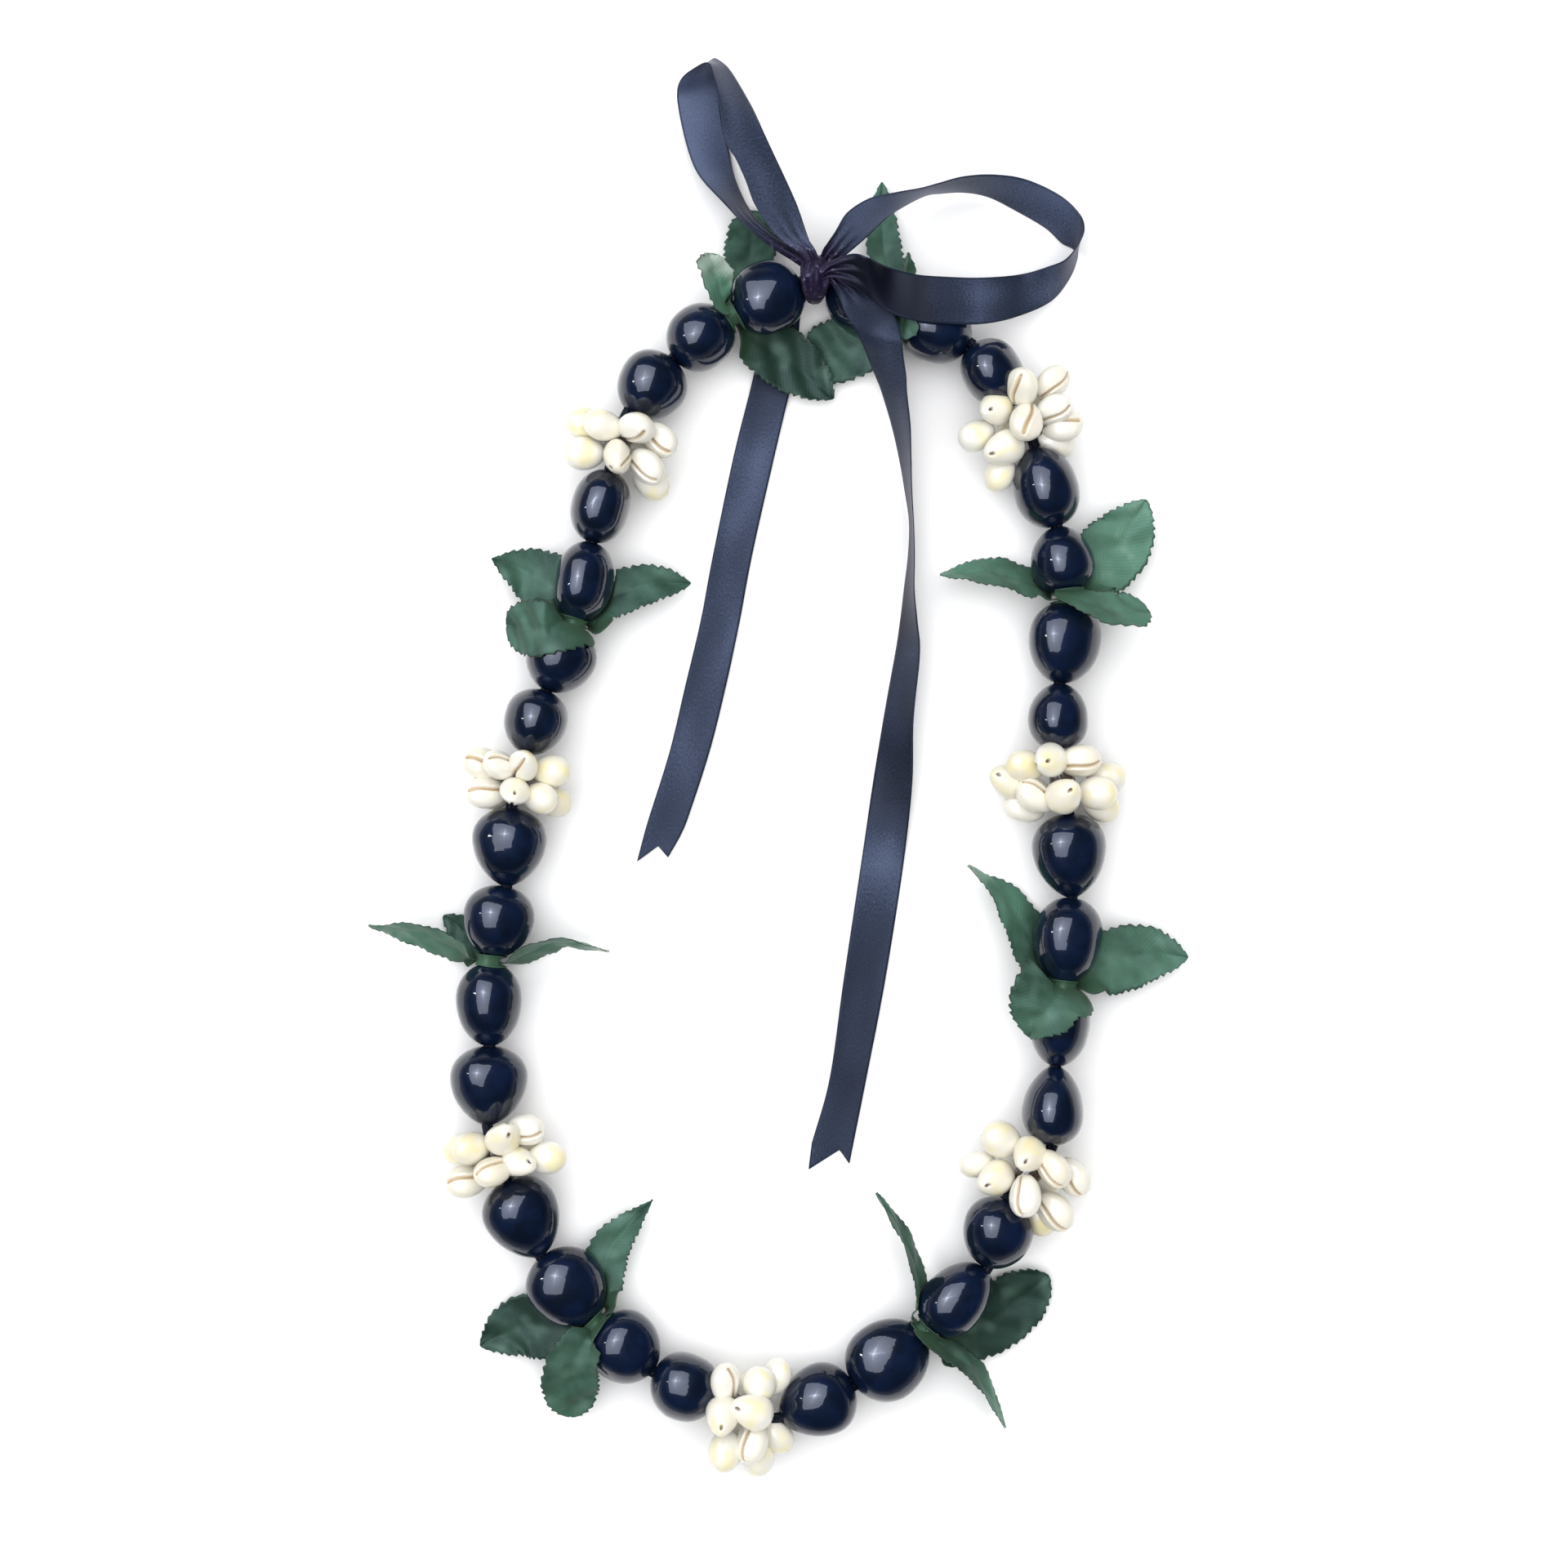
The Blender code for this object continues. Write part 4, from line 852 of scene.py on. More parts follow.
# %% The leaves' routes
# Each leaf: three points of its midrib as pixels and heights, its half-width, and its roll in degrees at its
# root and at its tip.
LEAVES = (
    (
        ((908, 350, 9.5), (918, 310, 4.5), (922, 258, 2.6), 9.5, 0, 0),
        ((891, 369, 20.0), (881, 348, 22.5), (870, 310, 20.5), 8.6, 48, 44),
        ((915, 402, 9.5), (962, 440, 5.0), (1021, 488, 4.2), 11.0, 0, 0),
    ),
    (
        ((688, 728, 8.5), (648, 702, 5.5), (602, 684, 8.0), 11.5, -8, 6),
        ((738, 738, 10.0), (790, 716, 9.5), (846, 714, 6.0), 8.4, -10, -5),
        ((693, 770, 18.0), (667, 770, 23.0), (620, 766, 13.0), 10.2, 8, -12),
    ),
    (
        ((570, 1168, 10.5), (515, 1144, 12.0), (451, 1134, 14.0), 8.2, -40, -66),
        ((628, 1165, 11.0), (685, 1155, 12.0), (746, 1166, 6.0), 8.0, 56, 82),
        ((577, 1153, 3.6), (563, 1137, 2.6), (543, 1121, 2.6), 6.5, 0, 0),
    ),
    (
        ((737, 1580, 8.0), (748, 1527, 6.5), (799, 1469, 9.0), 8.2, 0, -15),
        ((695, 1629, 7.0), (640, 1624, 4.0), (588, 1648, 3.0), 12.0, 0, 0),
        ((716, 1642, 18.0), (700, 1680, 15.0), (698, 1735, 6.0), 10.6, 0, 0),
    ),
    (
        ((1130, 1590, 11.0), (1112, 1525, 12.0), (1074, 1460, 14.0), 7.4, 64, 80),
        ((1168, 1643, 5.0), (1220, 1612, 2.8), (1284, 1562, 3.0), 12.2, 0, 0),
        ((1155, 1639, 14.5), (1196, 1681, 11.0), (1232, 1748, 7.0), 7.4, -58, -76),
    ),
    (
        ((1269, 1168, 8.0), (1239, 1111, 8.0), (1186, 1059, 12.0), 9.4, 0, 76),
        ((1340, 1187, 7.5), (1398, 1169, 6.0), (1455, 1172, 7.0), 12.1, 0, 0),
        ((1299, 1216, 16.0), (1289, 1231, 24.0), (1262, 1271, 17.0), 13.6, 0, 0),
    ),
    (
        ((1272, 718, 10.5), (1215, 701, 11.0), (1151, 703, 7.0), 8.8, 40, 56),
        ((1334, 706, 8.0), (1373, 662, 7.0), (1404, 612, 9.0), 13.0, 0, 0),
        ((1326, 737, 20.0), (1368, 748, 20.0), (1405, 745, 15.0), 9.6, -58, -38),
    ),
    (
        ((1098, 350, 8.0), (1082, 300, 4.5), (1080, 223, 3.0), 6.6, 0, 0),
        ((1106, 366, 12.5), (1112, 340, 12.0), (1113, 309, 11.0), 5.5, 50, 60),
        ((1078, 412, 7.0), (1035, 428, 3.4), (985, 434, 2.2), 11.8, 0, 0),
        ((1104, 394, 19.0), (1113, 399, 21.0), (1126, 400, 20.5), 6.5, 0, 0),
    ),
)
# How light each leaf is painted at its root and at its tip, in the same order: painted sheen pales the tips
# of leaves that stand on edge, and painted shade darkens roots beside the nuts. 0 is the darkest green and 1
# the palest. Below 0 its lighter clouds are dark too.
LEAF_PAINTED_LIGHT = (
    ((0.15, 0.25), (0.5, 1.0), (-0.3, 0.0)), ((0.15, 0.2), (0.1, 0.2), (0.15, 0.25)),
    ((0.35, 0.8), (0.3, 1.0), (0.15, 0.15)), ((0.2, 0.25), (-0.1, 0.05), (0.15, 0.3)),
    ((0.2, 0.3), (-0.12, 0.0), (0.0, 0.8)), ((0.15, 0.9), (0.35, 0.35), (0.2, 0.3)),
    ((0.25, 0.6), (0.55, 0.6), (0.35, 0.45)), ((0.2, 0.3), (0.2, 0.2), (0.1, 0.2), (0.2, 0.3)),
)
# Leaves that are broad from their root and lie over a nut, by sprig and place in it, both counted from 0:
# the power by which they widen, and the share by which one half is wider and the other narrower.
BROAD_LEAVES = {(1, 2): (0.7, 0.0), (3, 2): (1.0, 0.0), (5, 2): (0.35, 0.25)}
# Leaves whose tip is cut broader (below 0.75) or runs out more slowly (above it).
LEAF_ENDS = {
    (0, 0): 0.38, (0, 1): 0.38, (1, 0): 0.9, (1, 2): 0.38, (3, 0): 1.05, (3, 2): 0.5, (4, 1): 0.55,
    (5, 2): 0.5, (6, 2): 0.4, (7, 2): 0.38,
}
# Leaves that begin on the far side of the string, and how far past it, in millimetres.
OVER_THE_STRING = {(4, 2): 2.0, (6, 2): 6.0}
LEAF_ROWS = 119
LEAF_COLUMNS = 17
print("leaves:", sum(len(sprig) for sprig in LEAVES), "of", LEAF_ROWS, "by", LEAF_COLUMNS, "points")

# %% Outline, and room for the nuts
# How far from a nut the cloth stays: a leaf that lies over it, one beside it, and the collar.
OVER_A_NUT = 1.25
BESIDE_A_NUT = 0.85
COLLAR_GAP = 0.5
USUAL_GROWTH = 0.9
USUAL_END = 0.75
OUTLINE_START = 0.13


def leaf_share(s, growth, end):
    """Half-width as a share of the widest: x to the power growth times (1 - x) to the power end.

    x goes from 0.13 to 1 while s goes from 0 to 1, because a leaf isn't pointed at its root.
    """
    x = OUTLINE_START + (1 - OUTLINE_START) * s
    widest = growth / (growth + end)
    return x ** growth * (1 - x) ** end / (widest ** growth * (1 - widest) ** end)


def off_the_nuts(points, near, gap):
    """Points inside a nut, or nearer to it than gap, moved straight away from its axis to that distance."""
    flat = points.reshape(-1, 3).copy()
    for nut in near + near:
        offset = flat - nut["centre"]
        along, across, above = offset @ nut["axis"], offset @ nut["side"], offset @ nut["up"]
        t = along / (nut["half_length"] + gap)
        share = np.maximum(nut_radius(np.clip(t, -0.999, 0.999), nut["taper"]), 0.2)
        wide, high = nut["half_width"] * share + gap, nut["half_height"] * share + gap
        reach = np.hypot(across / wide, above / high)
        more = np.where((np.abs(t) < 1) & (reach < 1), 1 / np.maximum(reach, 0.15), 1.0) - 1
        flat += (across * more)[:, None] * nut["side"] + (above * more)[:, None] * nut["up"]
    return flat.reshape(points.shape)


outline = leaf_share(np.linspace(0, 1, 101), USUAL_GROWTH, USUAL_END)
print("a usual leaf is widest at", outline.argmax() / 100, "of its length")

# %% Midrib and directions
# A point of the midrib nearer to the string than this only says which way the leaf leaves it.
ROOT_LENGTH = 9.5


def midrib(hub, radial, leaf, broad, over, s):
    """The midrib's points at the shares s of its length, and that length.

    It leaves the string square to it, or starts at the string for a broad leaf, or on its far side.
    """
    picked = [at_pixel(*place) for place in leaf[:3]]
    if np.linalg.norm(picked[0] - hub) < ROOT_LENGTH:
        picked = picked[1:]
    ahead = unit((picked[0] - hub) * (1, 1, 0))
    start = [hub + radial * 3.0, hub + radial * 7.0]
    if over > 0:
        start = [hub - ahead * over + (0, 0, 6.5), hub + (0, 0, 8.0)]
    elif broad:
        start = [hub - ahead * 0.5, hub + ahead * 1.5 + (0, 0, 1.5)]
    even = evenly(through([*start, *picked], steps=24), LEAF_ROWS)
    middle = np.stack([np.interp(s, np.linspace(0, 1, LEAF_ROWS), even[:, k]) for k in range(3)], axis=1)
    return middle, np.linalg.norm(np.diff(even, axis=0), axis=1).sum()


def leaf_directions(middle, axis, radial, rolls, square_root, s):
    """Three directions at each row of a leaf: along it, across it, and out of its face.

    Across is level, turned by the roll between its values at base and tip. A root that stands square to the
    string starts square and reaches that direction a quarter of the way along.
    """
    tangent = unit(np.gradient(middle, axis=0))
    side = unit(np.cross((0, 0, 1), tangent) + 1e-6)
    kept = np.sign((side[1:] * side[:-1]).sum(axis=1))
    side[:-1] *= np.cumprod(kept[::-1])[::-1, None]
    roll = np.radians(rolls[0] + (rolls[1] - rolls[0]) * s)[:, None]
    across = side * np.cos(roll) + np.cross(tangent, side) * np.sin(roll)
    square = unit(np.cross(axis, radial))
    square *= 1.0 if square @ across[LEAF_ROWS // 4] >= 0 else -1.0
    turn = step_up(s, 0.02, 0.24)[:, None] if square_root else 1.0
    across = unit(across * turn + square * (1 - turn))
    return tangent, across, np.cross(tangent, across)


# %% Teeth and surface
TOOTH_SPACING = 2.9
TOOTH_DEPTH = 1.25
# How much painted shade darkens a leaf near its root, and the whole collar.
ROOT_SHADE = 0.75
LEAF_OVER_CARD = 0.3
COLLAR_TURNS = 1.1
COLLAR_RADIUS = 3.6
COLLAR_HALF_WIDTH = 2.0
COLLAR_ONE_TURN = 24.0


def toothed_rim(half, length, s, q, broad, chance):
    """How far in from the rim and back from the tip each point is cut: a saw of the length along the rim.

    The cut is square to the rim, so the teeth go round a blunt tip too, and fades inwards as |q| to the 8.
    """
    wider, further = np.gradient(half), np.gradient(s * length)
    rim = np.cumsum(np.hypot(wider, further))
    saw = (rim / TOOTH_SPACING + chance.uniform(0, 1)) % 1
    saw = np.minimum(saw / 0.75, (1 - saw) / 0.25)
    begun = step_up(s, 0.04, 0.1) if broad else step_up(s, 0.12, 0.25)
    tooth = np.minimum(TOOTH_DEPTH, half * 0.35) * saw * begun
    tooth = tooth * (0.8 + 0.3 * np.sin(rim * 0.7 + chance.uniform(0, 6)))
    cut = np.abs(q) ** 8 * (tooth / np.hypot(wider, further))[:, None]
    return np.sign(q) * cut * further[:, None], cut * np.minimum(wider, 0)[:, None]


def one_leaf(hub, axis, leaf, light, broad, end, over, near, chance):
    """Grid of points of one leaf, with its marks: midrib + across times half-width times q, q from -1 to 1.

    The rows lie closer towards the tip. Out of its face the leaf is bowed, waved and creased by the midrib.
    """
    width, *rolls = leaf[3:]
    radial = at_pixel(*leaf[0]) - hub
    radial = unit(radial - axis * (radial @ axis))
    s = 1 - (1 - np.linspace(0, 1, LEAF_ROWS)) ** 1.6
    q = np.linspace(-1, 1, LEAF_COLUMNS)[None, :]
    middle, length = midrib(hub, radial, leaf, broad, over, s)
    tangent, across, above = leaf_directions(middle, axis, radial, rolls, not (over > 0 or broad), s)
    growth, skew = broad or (USUAL_GROWTH, 0.0)
    half = width * leaf_share(s, growth, end)
    half = np.maximum(half * np.sqrt(1 - np.clip(1 - s / 0.08, 0, 1) ** 2), 0.3)
    inwards, back = toothed_rim(half, length, s, q, broad, chance)
    reach = half[:, None] * q * (1 - skew * q) - inwards
    bow = chance.uniform(0.4, 1.1)
    wave = 0.5 * np.sin(2 * np.pi * (s[:, None] * chance.uniform(1.4, 2.4) + 0.25 * np.sign(q))) * q * q
    ripple = s[:, None] * 3.3 + q * chance.uniform(0.5, 0.9) + chance.uniform(0, 1)
    wave = wave + 0.8 * np.sin(2 * np.pi * ripple)
    crease = 0.7 * np.exp(-np.abs(q) * 5) * step_up(s, 0.05, 0.3)[:, None]
    raised = (bow * q * q * step_up(s, 0.2, 0.6)[:, None] + wave * s[:, None]) * half[:, None] / 10 - crease
    points = middle[:, None] + across[:, None] * reach[..., None] + above[:, None] * raised[..., None]
    points = points + tangent[:, None] * back[..., None]
    points = off_the_nuts(points, near, OVER_A_NUT if broad else BESIDE_A_NUT)
    points[..., 2] = np.maximum(points[..., 2], LEAF_OVER_CARD)
    along = s[:, None] * length + 0 * q
    marks = {
        "rib": along - 0.9 * np.abs(reach),
        "rim": step_up(np.abs(q), 0.93, 0.99) + 0 * along,
        # Painted shade near the root.
        "root": (1 - step_up(s, 0.05, 0.2 if broad else 0.4))[:, None] * ROOT_SHADE + 0 * q,
        "crease": np.exp(-np.abs(reach) / 0.35),
        # Painted light and shade along the leaf: paler towards some tips, darker at some roots.
        "tone": (light[0] + (light[1] - light[0]) * s * s)[:, None] + 0 * q,
    }
    return points, marks, np.stack((reach, along), axis=-1)


def collar(hub, axis, light, near, chance):
    """Cloth at a sprig's heart, wound 1.1 times round the string: 4 mm wide, radius 3.6 mm and growing."""
    share = np.linspace(0, COLLAR_TURNS, LEAF_ROWS)[:, None]
    q = np.linspace(-1, 1, LEAF_COLUMNS)[None, :]
    side = unit(np.cross((0, 0, 1), axis))
    angle = 2 * np.pi * share - 0.5 * np.pi
    radius = COLLAR_RADIUS + 0.7 * share + 0.5 * q * q + 0.15 * np.sin(5 * angle + chance.uniform(0, 6))
    far, across = COLLAR_ONE_TURN * share + 0 * q, COLLAR_HALF_WIDTH * q + 0 * share
    line = hub + across[..., None] * axis
    points = round_a_line(line, side, np.cross(axis, side), angle, radius, radius)
    points = off_the_nuts(points, near, COLLAR_GAP)
    marks = {mark: 0 * far for mark in ("rib", "rim", "crease")}
    # The collar is all in painted shade, and painted as light as its first leaf's root.
    marks |= {"root": ROOT_SHADE + 0 * far, "tone": light[0] + 0 * far}
    return points, marks, np.stack((across, far), axis=-1)


print("teeth are", TOOTH_SPACING, "mm apart and up to", TOOTH_DEPTH, "mm deep")

# %% [markdown]
# ### The sprigs
#
# The leaves of a sprig and its collar are threaded on the string together, so they are one piece.

# %% Make the sprigs
CLOTH_THICKNESS = 0.25
NEAR_A_SPRIG = 75.0
LEAF_SEED = 300


def flat_area(grid):
    """Area of a grid of points: half the cross product of both diagonals of each face, added up."""
    first = grid[1:, 1:] - grid[:-1, :-1]
    second = grid[1:, :-1] - grid[:-1, 1:]
    return np.linalg.norm(np.cross(first, second), axis=-1).sum() / 2


def leaf_sprig(number, station):
    """The leaves of one sprig and its collar as one piece, and the area of its leaves."""
    hub = STRING[station]
    axis = unit(unit(hub - STRING[station - 1]) + unit(STRING[station + 1] - hub))
    near = [nut for nut in nuts if np.linalg.norm(nut["centre"] - hub) < NEAR_A_SPRIG]
    chance = np.random.default_rng(LEAF_SEED + number)
    leaves, lights = LEAVES[number - 1], LEAF_PAINTED_LIGHT[number - 1]
    grids = []
    for place, (leaf, light) in enumerate(zip(leaves, lights)):
        which = (number - 1, place)
        broad = BROAD_LEAVES.get(which)
        end, over = LEAF_ENDS.get(which, USUAL_END), OVER_THE_STRING.get(which, 0)
        grids.append(one_leaf(hub, axis, leaf, light, broad, end, over, near, chance))
    grids.append(collar(hub, axis, lights[0], near, chance))
    count = LEAF_ROWS * LEAF_COLUMNS
    faces = [quads(LEAF_ROWS, LEAF_COLUMNS) + k * count for k in range(len(grids))]
    points = np.concatenate([grid.reshape(-1, 3) for grid, _, _ in grids])
    marks = {mark: np.concatenate([m[mark].ravel() for _, m, _ in grids]) for mark in grids[0][1]}
    uv = np.concatenate([flat.reshape(-1, 2) for _, _, flat in grids])
    name, node = f"leaf_sprig_{number}", f"leaves_{number}"
    made = make_piece(name, points, faces, leaf_finish, [node], uv=uv, marks=marks)
    give_thickness(made, CLOTH_THICKNESS)
    area = sum(flat_area(grid) for grid, _, _ in grids) * MM * MM
    return area


for number, station in enumerate(SPRIGS, start=1):
    area = leaf_sprig(number, station)
    print("sprig", number, "has", round(area * 1e6), "square mm of cloth")

# %% [markdown]
# ## The bow
#
# The bow is one length of satin ribbon, 15 mm wide. It is traced as four pieces: two loops and two tails,
# each from its two rims in the photograph. Where the two rims look nearer than 15 mm the ribbon stands on
# edge or is gathered, so the height of the second rim is worked out from the width that isn't seen. Between
# the rows the rims are smooth curves, and where the ribbon is gathered into the knot it has pleats.

# %% The ribbon's rims
RIBBON_WIDTH = 15.0
# Rows from the knot outwards, or round a loop: pixels of one rim and of the other, and height of the first.
# Then the share of the full width that the ribbon is gathered to, and 1 where the second rim stands higher
# or 0 where it doesn't, both 1 if they are left out.
USUAL_ROW = (0, 0, 0, 0, 0, 1.0, 1)
TAIL_LEFT = (
    (979, 350, 988, 363, 7.2, 0.35, 0), (950, 378, 980, 386, 3.0, 0.65, 0),
    (934, 415, 977, 425, 1.6, 1.0, 0), (925, 450, 972, 458, 1.2, 1.0, 0), (918, 480, 967, 480, 1.0, 1.0, 0),
    (898, 560, 948, 560, 0.8, 1.0, 0), (873, 680, 921, 680, 0.7, 1.0, 0), (858, 760, 906, 760, 0.7, 1.0, 0),
    (839, 840, 889, 840, 0.7, 1.0, 0), (820, 920, 869, 920, 0.7, 1.0, 0),
    (795, 1000, 843, 1000, 0.7, 1.0, 0), (788, 1024, 833, 1024, 0.7, 1.0, 0),
)
TAIL_LEFT_TIPS = ((780, 1055), (806, 1036), (818, 1050))
TAIL_RIGHT = (
    (1003, 336, 1013, 328, 21.5, 0.38, 0), (1017, 345, 1034, 339, 23.9, 0.42, 0),
    (1026, 362, 1062, 350, 23.4, 0.75, 0), (1034, 382, 1085, 368, 23.2, 1.0, 0),
    (1046, 402, 1099, 392, 22.0, 1.0, 0), (1056, 420, 1104, 416, 18.0), (1064, 440, 1107, 440, 12.5),
    (1073, 462, 1110, 460, 8.0), (1080, 480, 1111, 480, 5.4), (1092, 520, 1115, 520, 3.0),
    (1101, 560, 1116, 560, 1.8), (1108, 600, 1117, 600, 1.2), (1114, 640, 1119, 640, 0.8),
    (1113, 680, 1120, 680, 0.7), (1108, 720, 1120, 720, 0.7), (1103, 760, 1124, 760, 0.7),
    (1097, 800, 1127, 800, 0.7), (1082, 880, 1119, 880, 0.7), (1069, 960, 1117, 960, 0.7),
    (1054, 1060, 1106, 1060, 0.7, 1.0, 0), (1033, 1200, 1084, 1200, 0.7, 1.0, 0),
    (1016, 1320, 1061, 1320, 0.7, 1.0, 0), (994, 1400, 1045, 1400, 0.7, 1.0, 0),
)
TAIL_RIGHT_TIPS = ((990, 1432), (1028, 1408), (1040, 1425))
LOOP_RIGHT = (
    (1001, 346, 1003, 331, 22.0, 0.38), (1017, 341, 1019, 320, 24.6, 0.42),
    (1043, 350, 1044, 311, 25.4, 0.76), (1066, 366, 1062, 315, 25.6), (1090, 383, 1087, 327, 25.6),
    (1121, 393, 1121, 336, 25.8), (1155, 396, 1156, 339, 25.8), (1200, 397, 1200, 340, 21.0),
    (1242, 389, 1249, 336, 12.0), (1285, 370, 1285, 326, 5.5), (1308, 342, 1306, 317, 3.5),
    (1318, 314, 1322, 297, 2.2), (1313, 306, 1328, 280, 1.8), (1299, 298, 1322, 262, 1.4),
    (1279, 279, 1298, 240, 1.0), (1241, 257, 1256, 221, 1.2), (1210, 242, 1216, 215, 2.0),
    (1180, 236, 1180, 217, 3.0), (1150, 237, 1150, 225, 4.6), (1132, 240, 1128, 231, 6.0),
    (1105, 254, 1098, 236, 8.2), (1085, 268, 1065, 243, 11.0), (1062, 290, 1038, 260, 14.0),
    (1042, 306, 1022, 283, 16.5, 0.7), (1023, 321, 1007, 306, 18.5, 0.42), (1008, 335, 998, 324, 19.5, 0.36),
)
LOOP_LEFT = (
    (1004, 331, 990, 329, 20.0, 0.36), (999, 310, 982, 309, 21.0, 0.42), (988, 285, 954, 291, 19.8, 0.75),
    (975, 250, 926, 254, 18.0), (960, 216, 913, 222, 16.8), (947, 188, 901, 196, 16.0),
    (935, 162, 888, 172, 15.0), (920, 130, 880, 122, 10.5), (897, 90, 873, 91, 6.0), (884, 76, 866, 77, 4.0),
    (873, 72, 850, 84, 2.4), (873, 88, 835, 96, 1.6), (880, 108, 829, 113, 1.2, 1.0, 0),
    (884, 144, 833, 146, 1.0, 1.0, 0), (892, 180, 844, 188, 1.4), (899, 214, 858, 216, 3.0),
    (914, 249, 888, 249, 6.5), (931, 274, 910, 274, 11.0, 0.8), (955, 296, 942, 299, 14.5, 0.55),
    (980, 311, 971, 317, 17.5, 0.4), (999, 323, 991, 331, 18.5, 0.36),
)
# Row and lustre there, a painted sheen and shade: how much light its long threads catch, about 0 to 1, as
# judged.
PAINTED_LUSTRE = {
    "tail_left": ((0, 0.3), (2, 0.25), (4, 0.35), (5, 0.6), (7, 0.5)),
    "tail_right": (
        (0, 0.35), (3, 0.3), (5, 0.5), (8, 0.5), (11, 0.4), (13, 0.3), (15, 0.2), (16, 0.5), (17.5, 0.2),
        (18.2, 0.2), (19, 0.7), (20, 0.4), (21, 0.2), (22, 0.4),
    ),
    "loop_right": (
        (0, 0.3), (2, 0.05), (5, -0.2), (6, 0.35), (7, 0.65), (8, 0.35), (9, 0.7), (12, 0.55), (14, 0.7),
        (17, 0.65), (19, 0.8), (21, 0.95), (22, 0.9), (23, 0.6), (25, 0.4),
    ),
    "loop_left": (
        (0, 1.3), (1, 1.1), (2, 0.6), (6, 0.55), (9, 0.5), (11, 0.95), (13, 0.9), (15, 0.9), (16, 0.5),
        (18, 0.55), (20, 0.5),
    ),
}
print("rows traced:", sum(len(rows) for rows in (TAIL_LEFT, TAIL_RIGHT, LOOP_RIGHT, LOOP_LEFT)))

# %% A ribbon from its rims
RIBBON_COLUMNS = 17
STEPS_A_ROW = 10
TIP_STEPS = 8
RIBBON_THICKNESS = 0.3
PLEAT_HEIGHT = 2.4
RIBBON_OVER_CARD = 0.25


def rims(rows):
    """Both rims in millimetres. The second rises by the root of (width squared - what is seen squared)."""
    table = filled(rows, USUAL_ROW)
    first = at_pixel(table[:, 0], table[:, 1], table[:, 4])
    second = at_pixel(table[:, 2], table[:, 3], table[:, 4])
    for _ in range(3):
        seen = np.linalg.norm((second - first)[:, :2], axis=1)
        climb = np.sqrt(np.maximum((RIBBON_WIDTH * table[:, 5]) ** 2 - seen ** 2, 0)) * table[:, 6]
        second = at_pixel(table[:, 2], table[:, 3], table[:, 4] + climb)
    return first, second, table[:, 5]


def ribbon_grid(rows, ripple, tips=None):
    """Grid of a ribbon, its UV in millimetres, how gathered it is, and its length.

    Each row is straight from rim to rim, plus a low bow, ripples along the ribbon, and pleats. These are
    2.4 (1 - share) cos(3 pi q) high, so they grow where the ribbon is gathered to a share of its width.
    """
    first, second, share = rims(rows)
    fine = through(np.concatenate((first, second, share[:, None]), axis=1), STEPS_A_ROW)
    first, second, share = fine[:, :3], fine[:, 3:6], np.clip(fine[:, 6], 0.3, 1)
    q = np.linspace(-1, 1, RIBBON_COLUMNS)[None, :, None]
    grid = first[:, None] * (1 - q) / 2 + second[:, None] * (1 + q) / 2
    if tips is not None:
        ends = at_pixel(*np.array(tips, float).T, rows[-1][4])
        end = np.stack([np.interp(q[0, :, 0], (-1, 0, 1), ends[:, k]) for k in range(3)], axis=1)
        more = np.linspace(0, 1, TIP_STEPS + 1)[1:, None, None]
        grid = np.concatenate((grid, grid[-1:] * (1 - more) + end[None] * more))
        share = np.concatenate((share, np.ones(TIP_STEPS)))
    ahead = unit(np.gradient(grid, axis=0))
    across = unit(np.gradient(grid, axis=1))
    normal = unit(np.cross(ahead, across))
    middle = grid[:, RIBBON_COLUMNS // 2]
    far = np.concatenate(((0,), np.cumsum(np.linalg.norm(np.diff(middle, axis=0), axis=1))))[:, None, None]
    pleats = PLEAT_HEIGHT * (1 - share)[:, None, None] * np.cos(3 * np.pi * q)
    waves = ripple * (np.sin(far / 7.0 + 1.2 * q) * 0.5 + np.sin(far / 17.0 - 0.8 * q))
    waves = waves * np.sin(np.pi * far / far[-1])
    curl = 0.25 * (q * q - 0.4)
    grid = grid + normal * (pleats + waves + curl)
    grid[..., 2] = np.maximum(grid[..., 2], RIBBON_OVER_CARD)
    flat = np.stack(np.broadcast_arrays(q[..., 0] * RIBBON_WIDTH / 2, far[..., 0]), axis=-1)
    # How gathered the ribbon is, which the satin shows as painted fold shade.
    gather = np.clip((0.75 - share) / 0.35, 0, 1)[:, None] + 0 * q[..., 0]
    return grid, flat, gather, float(far[-1, 0, 0])


def ribbon_piece(name, node, rows, ripple, tips=None):
    """One run of ribbon, with its thickness, and its length printed."""
    grid, flat, gather, length = ribbon_grid(rows, ripple, tips)
    # Painted lustre along the ribbon: painted sheen and shade, row by row.
    lustre = np.interp(np.arange(len(grid)) / STEPS_A_ROW, *np.array(PAINTED_LUSTRE[node]).T)[:, None] + 0 * gather
    faces = [quads(*grid.shape[:2])]
    made = make_piece(
        name, grid.reshape(-1, 3), faces, ribbon_finish, [node],
        uv=flat.reshape(-1, 2), marks={"gather": gather.ravel(), "lustre": lustre.ravel()},
    )
    give_thickness(made, RIBBON_THICKNESS)
    print(name, "is", round(length), "mm long")


# %% [markdown]
# ### The knot
#
# The knot is the middle of the ribbon pulled tight round both loops, so it is a small lump, longer across
# the loops than it is wide, with sharp gathers that run along it. It is a closed surface round one axis: an
# outline that widens above the nuts, shrunk towards both ends, with folds that lean a little as they go.

# %% Make the knot
KNOT_CENTRE = (12.3, 165.8, 15.0)
KNOT_HALF_LENGTH = 8.0
KNOT_CLOTH_LENGTH = 18.0
# Painted sheen and shade of the knot.
KNOT_PAINTED_LUSTRE = 0.3
KNOT_ROWS = 61
KNOT_COLUMNS = 96
KNOT_OUTLINE = (
    (0.0, -9.0), (2.5, -8.2), (3.7, -4.5), (3.6, 0.5), (4.1, 4.4), (5.2, 7.8), (4.4, 10.4), (1.8, 11.4),
)


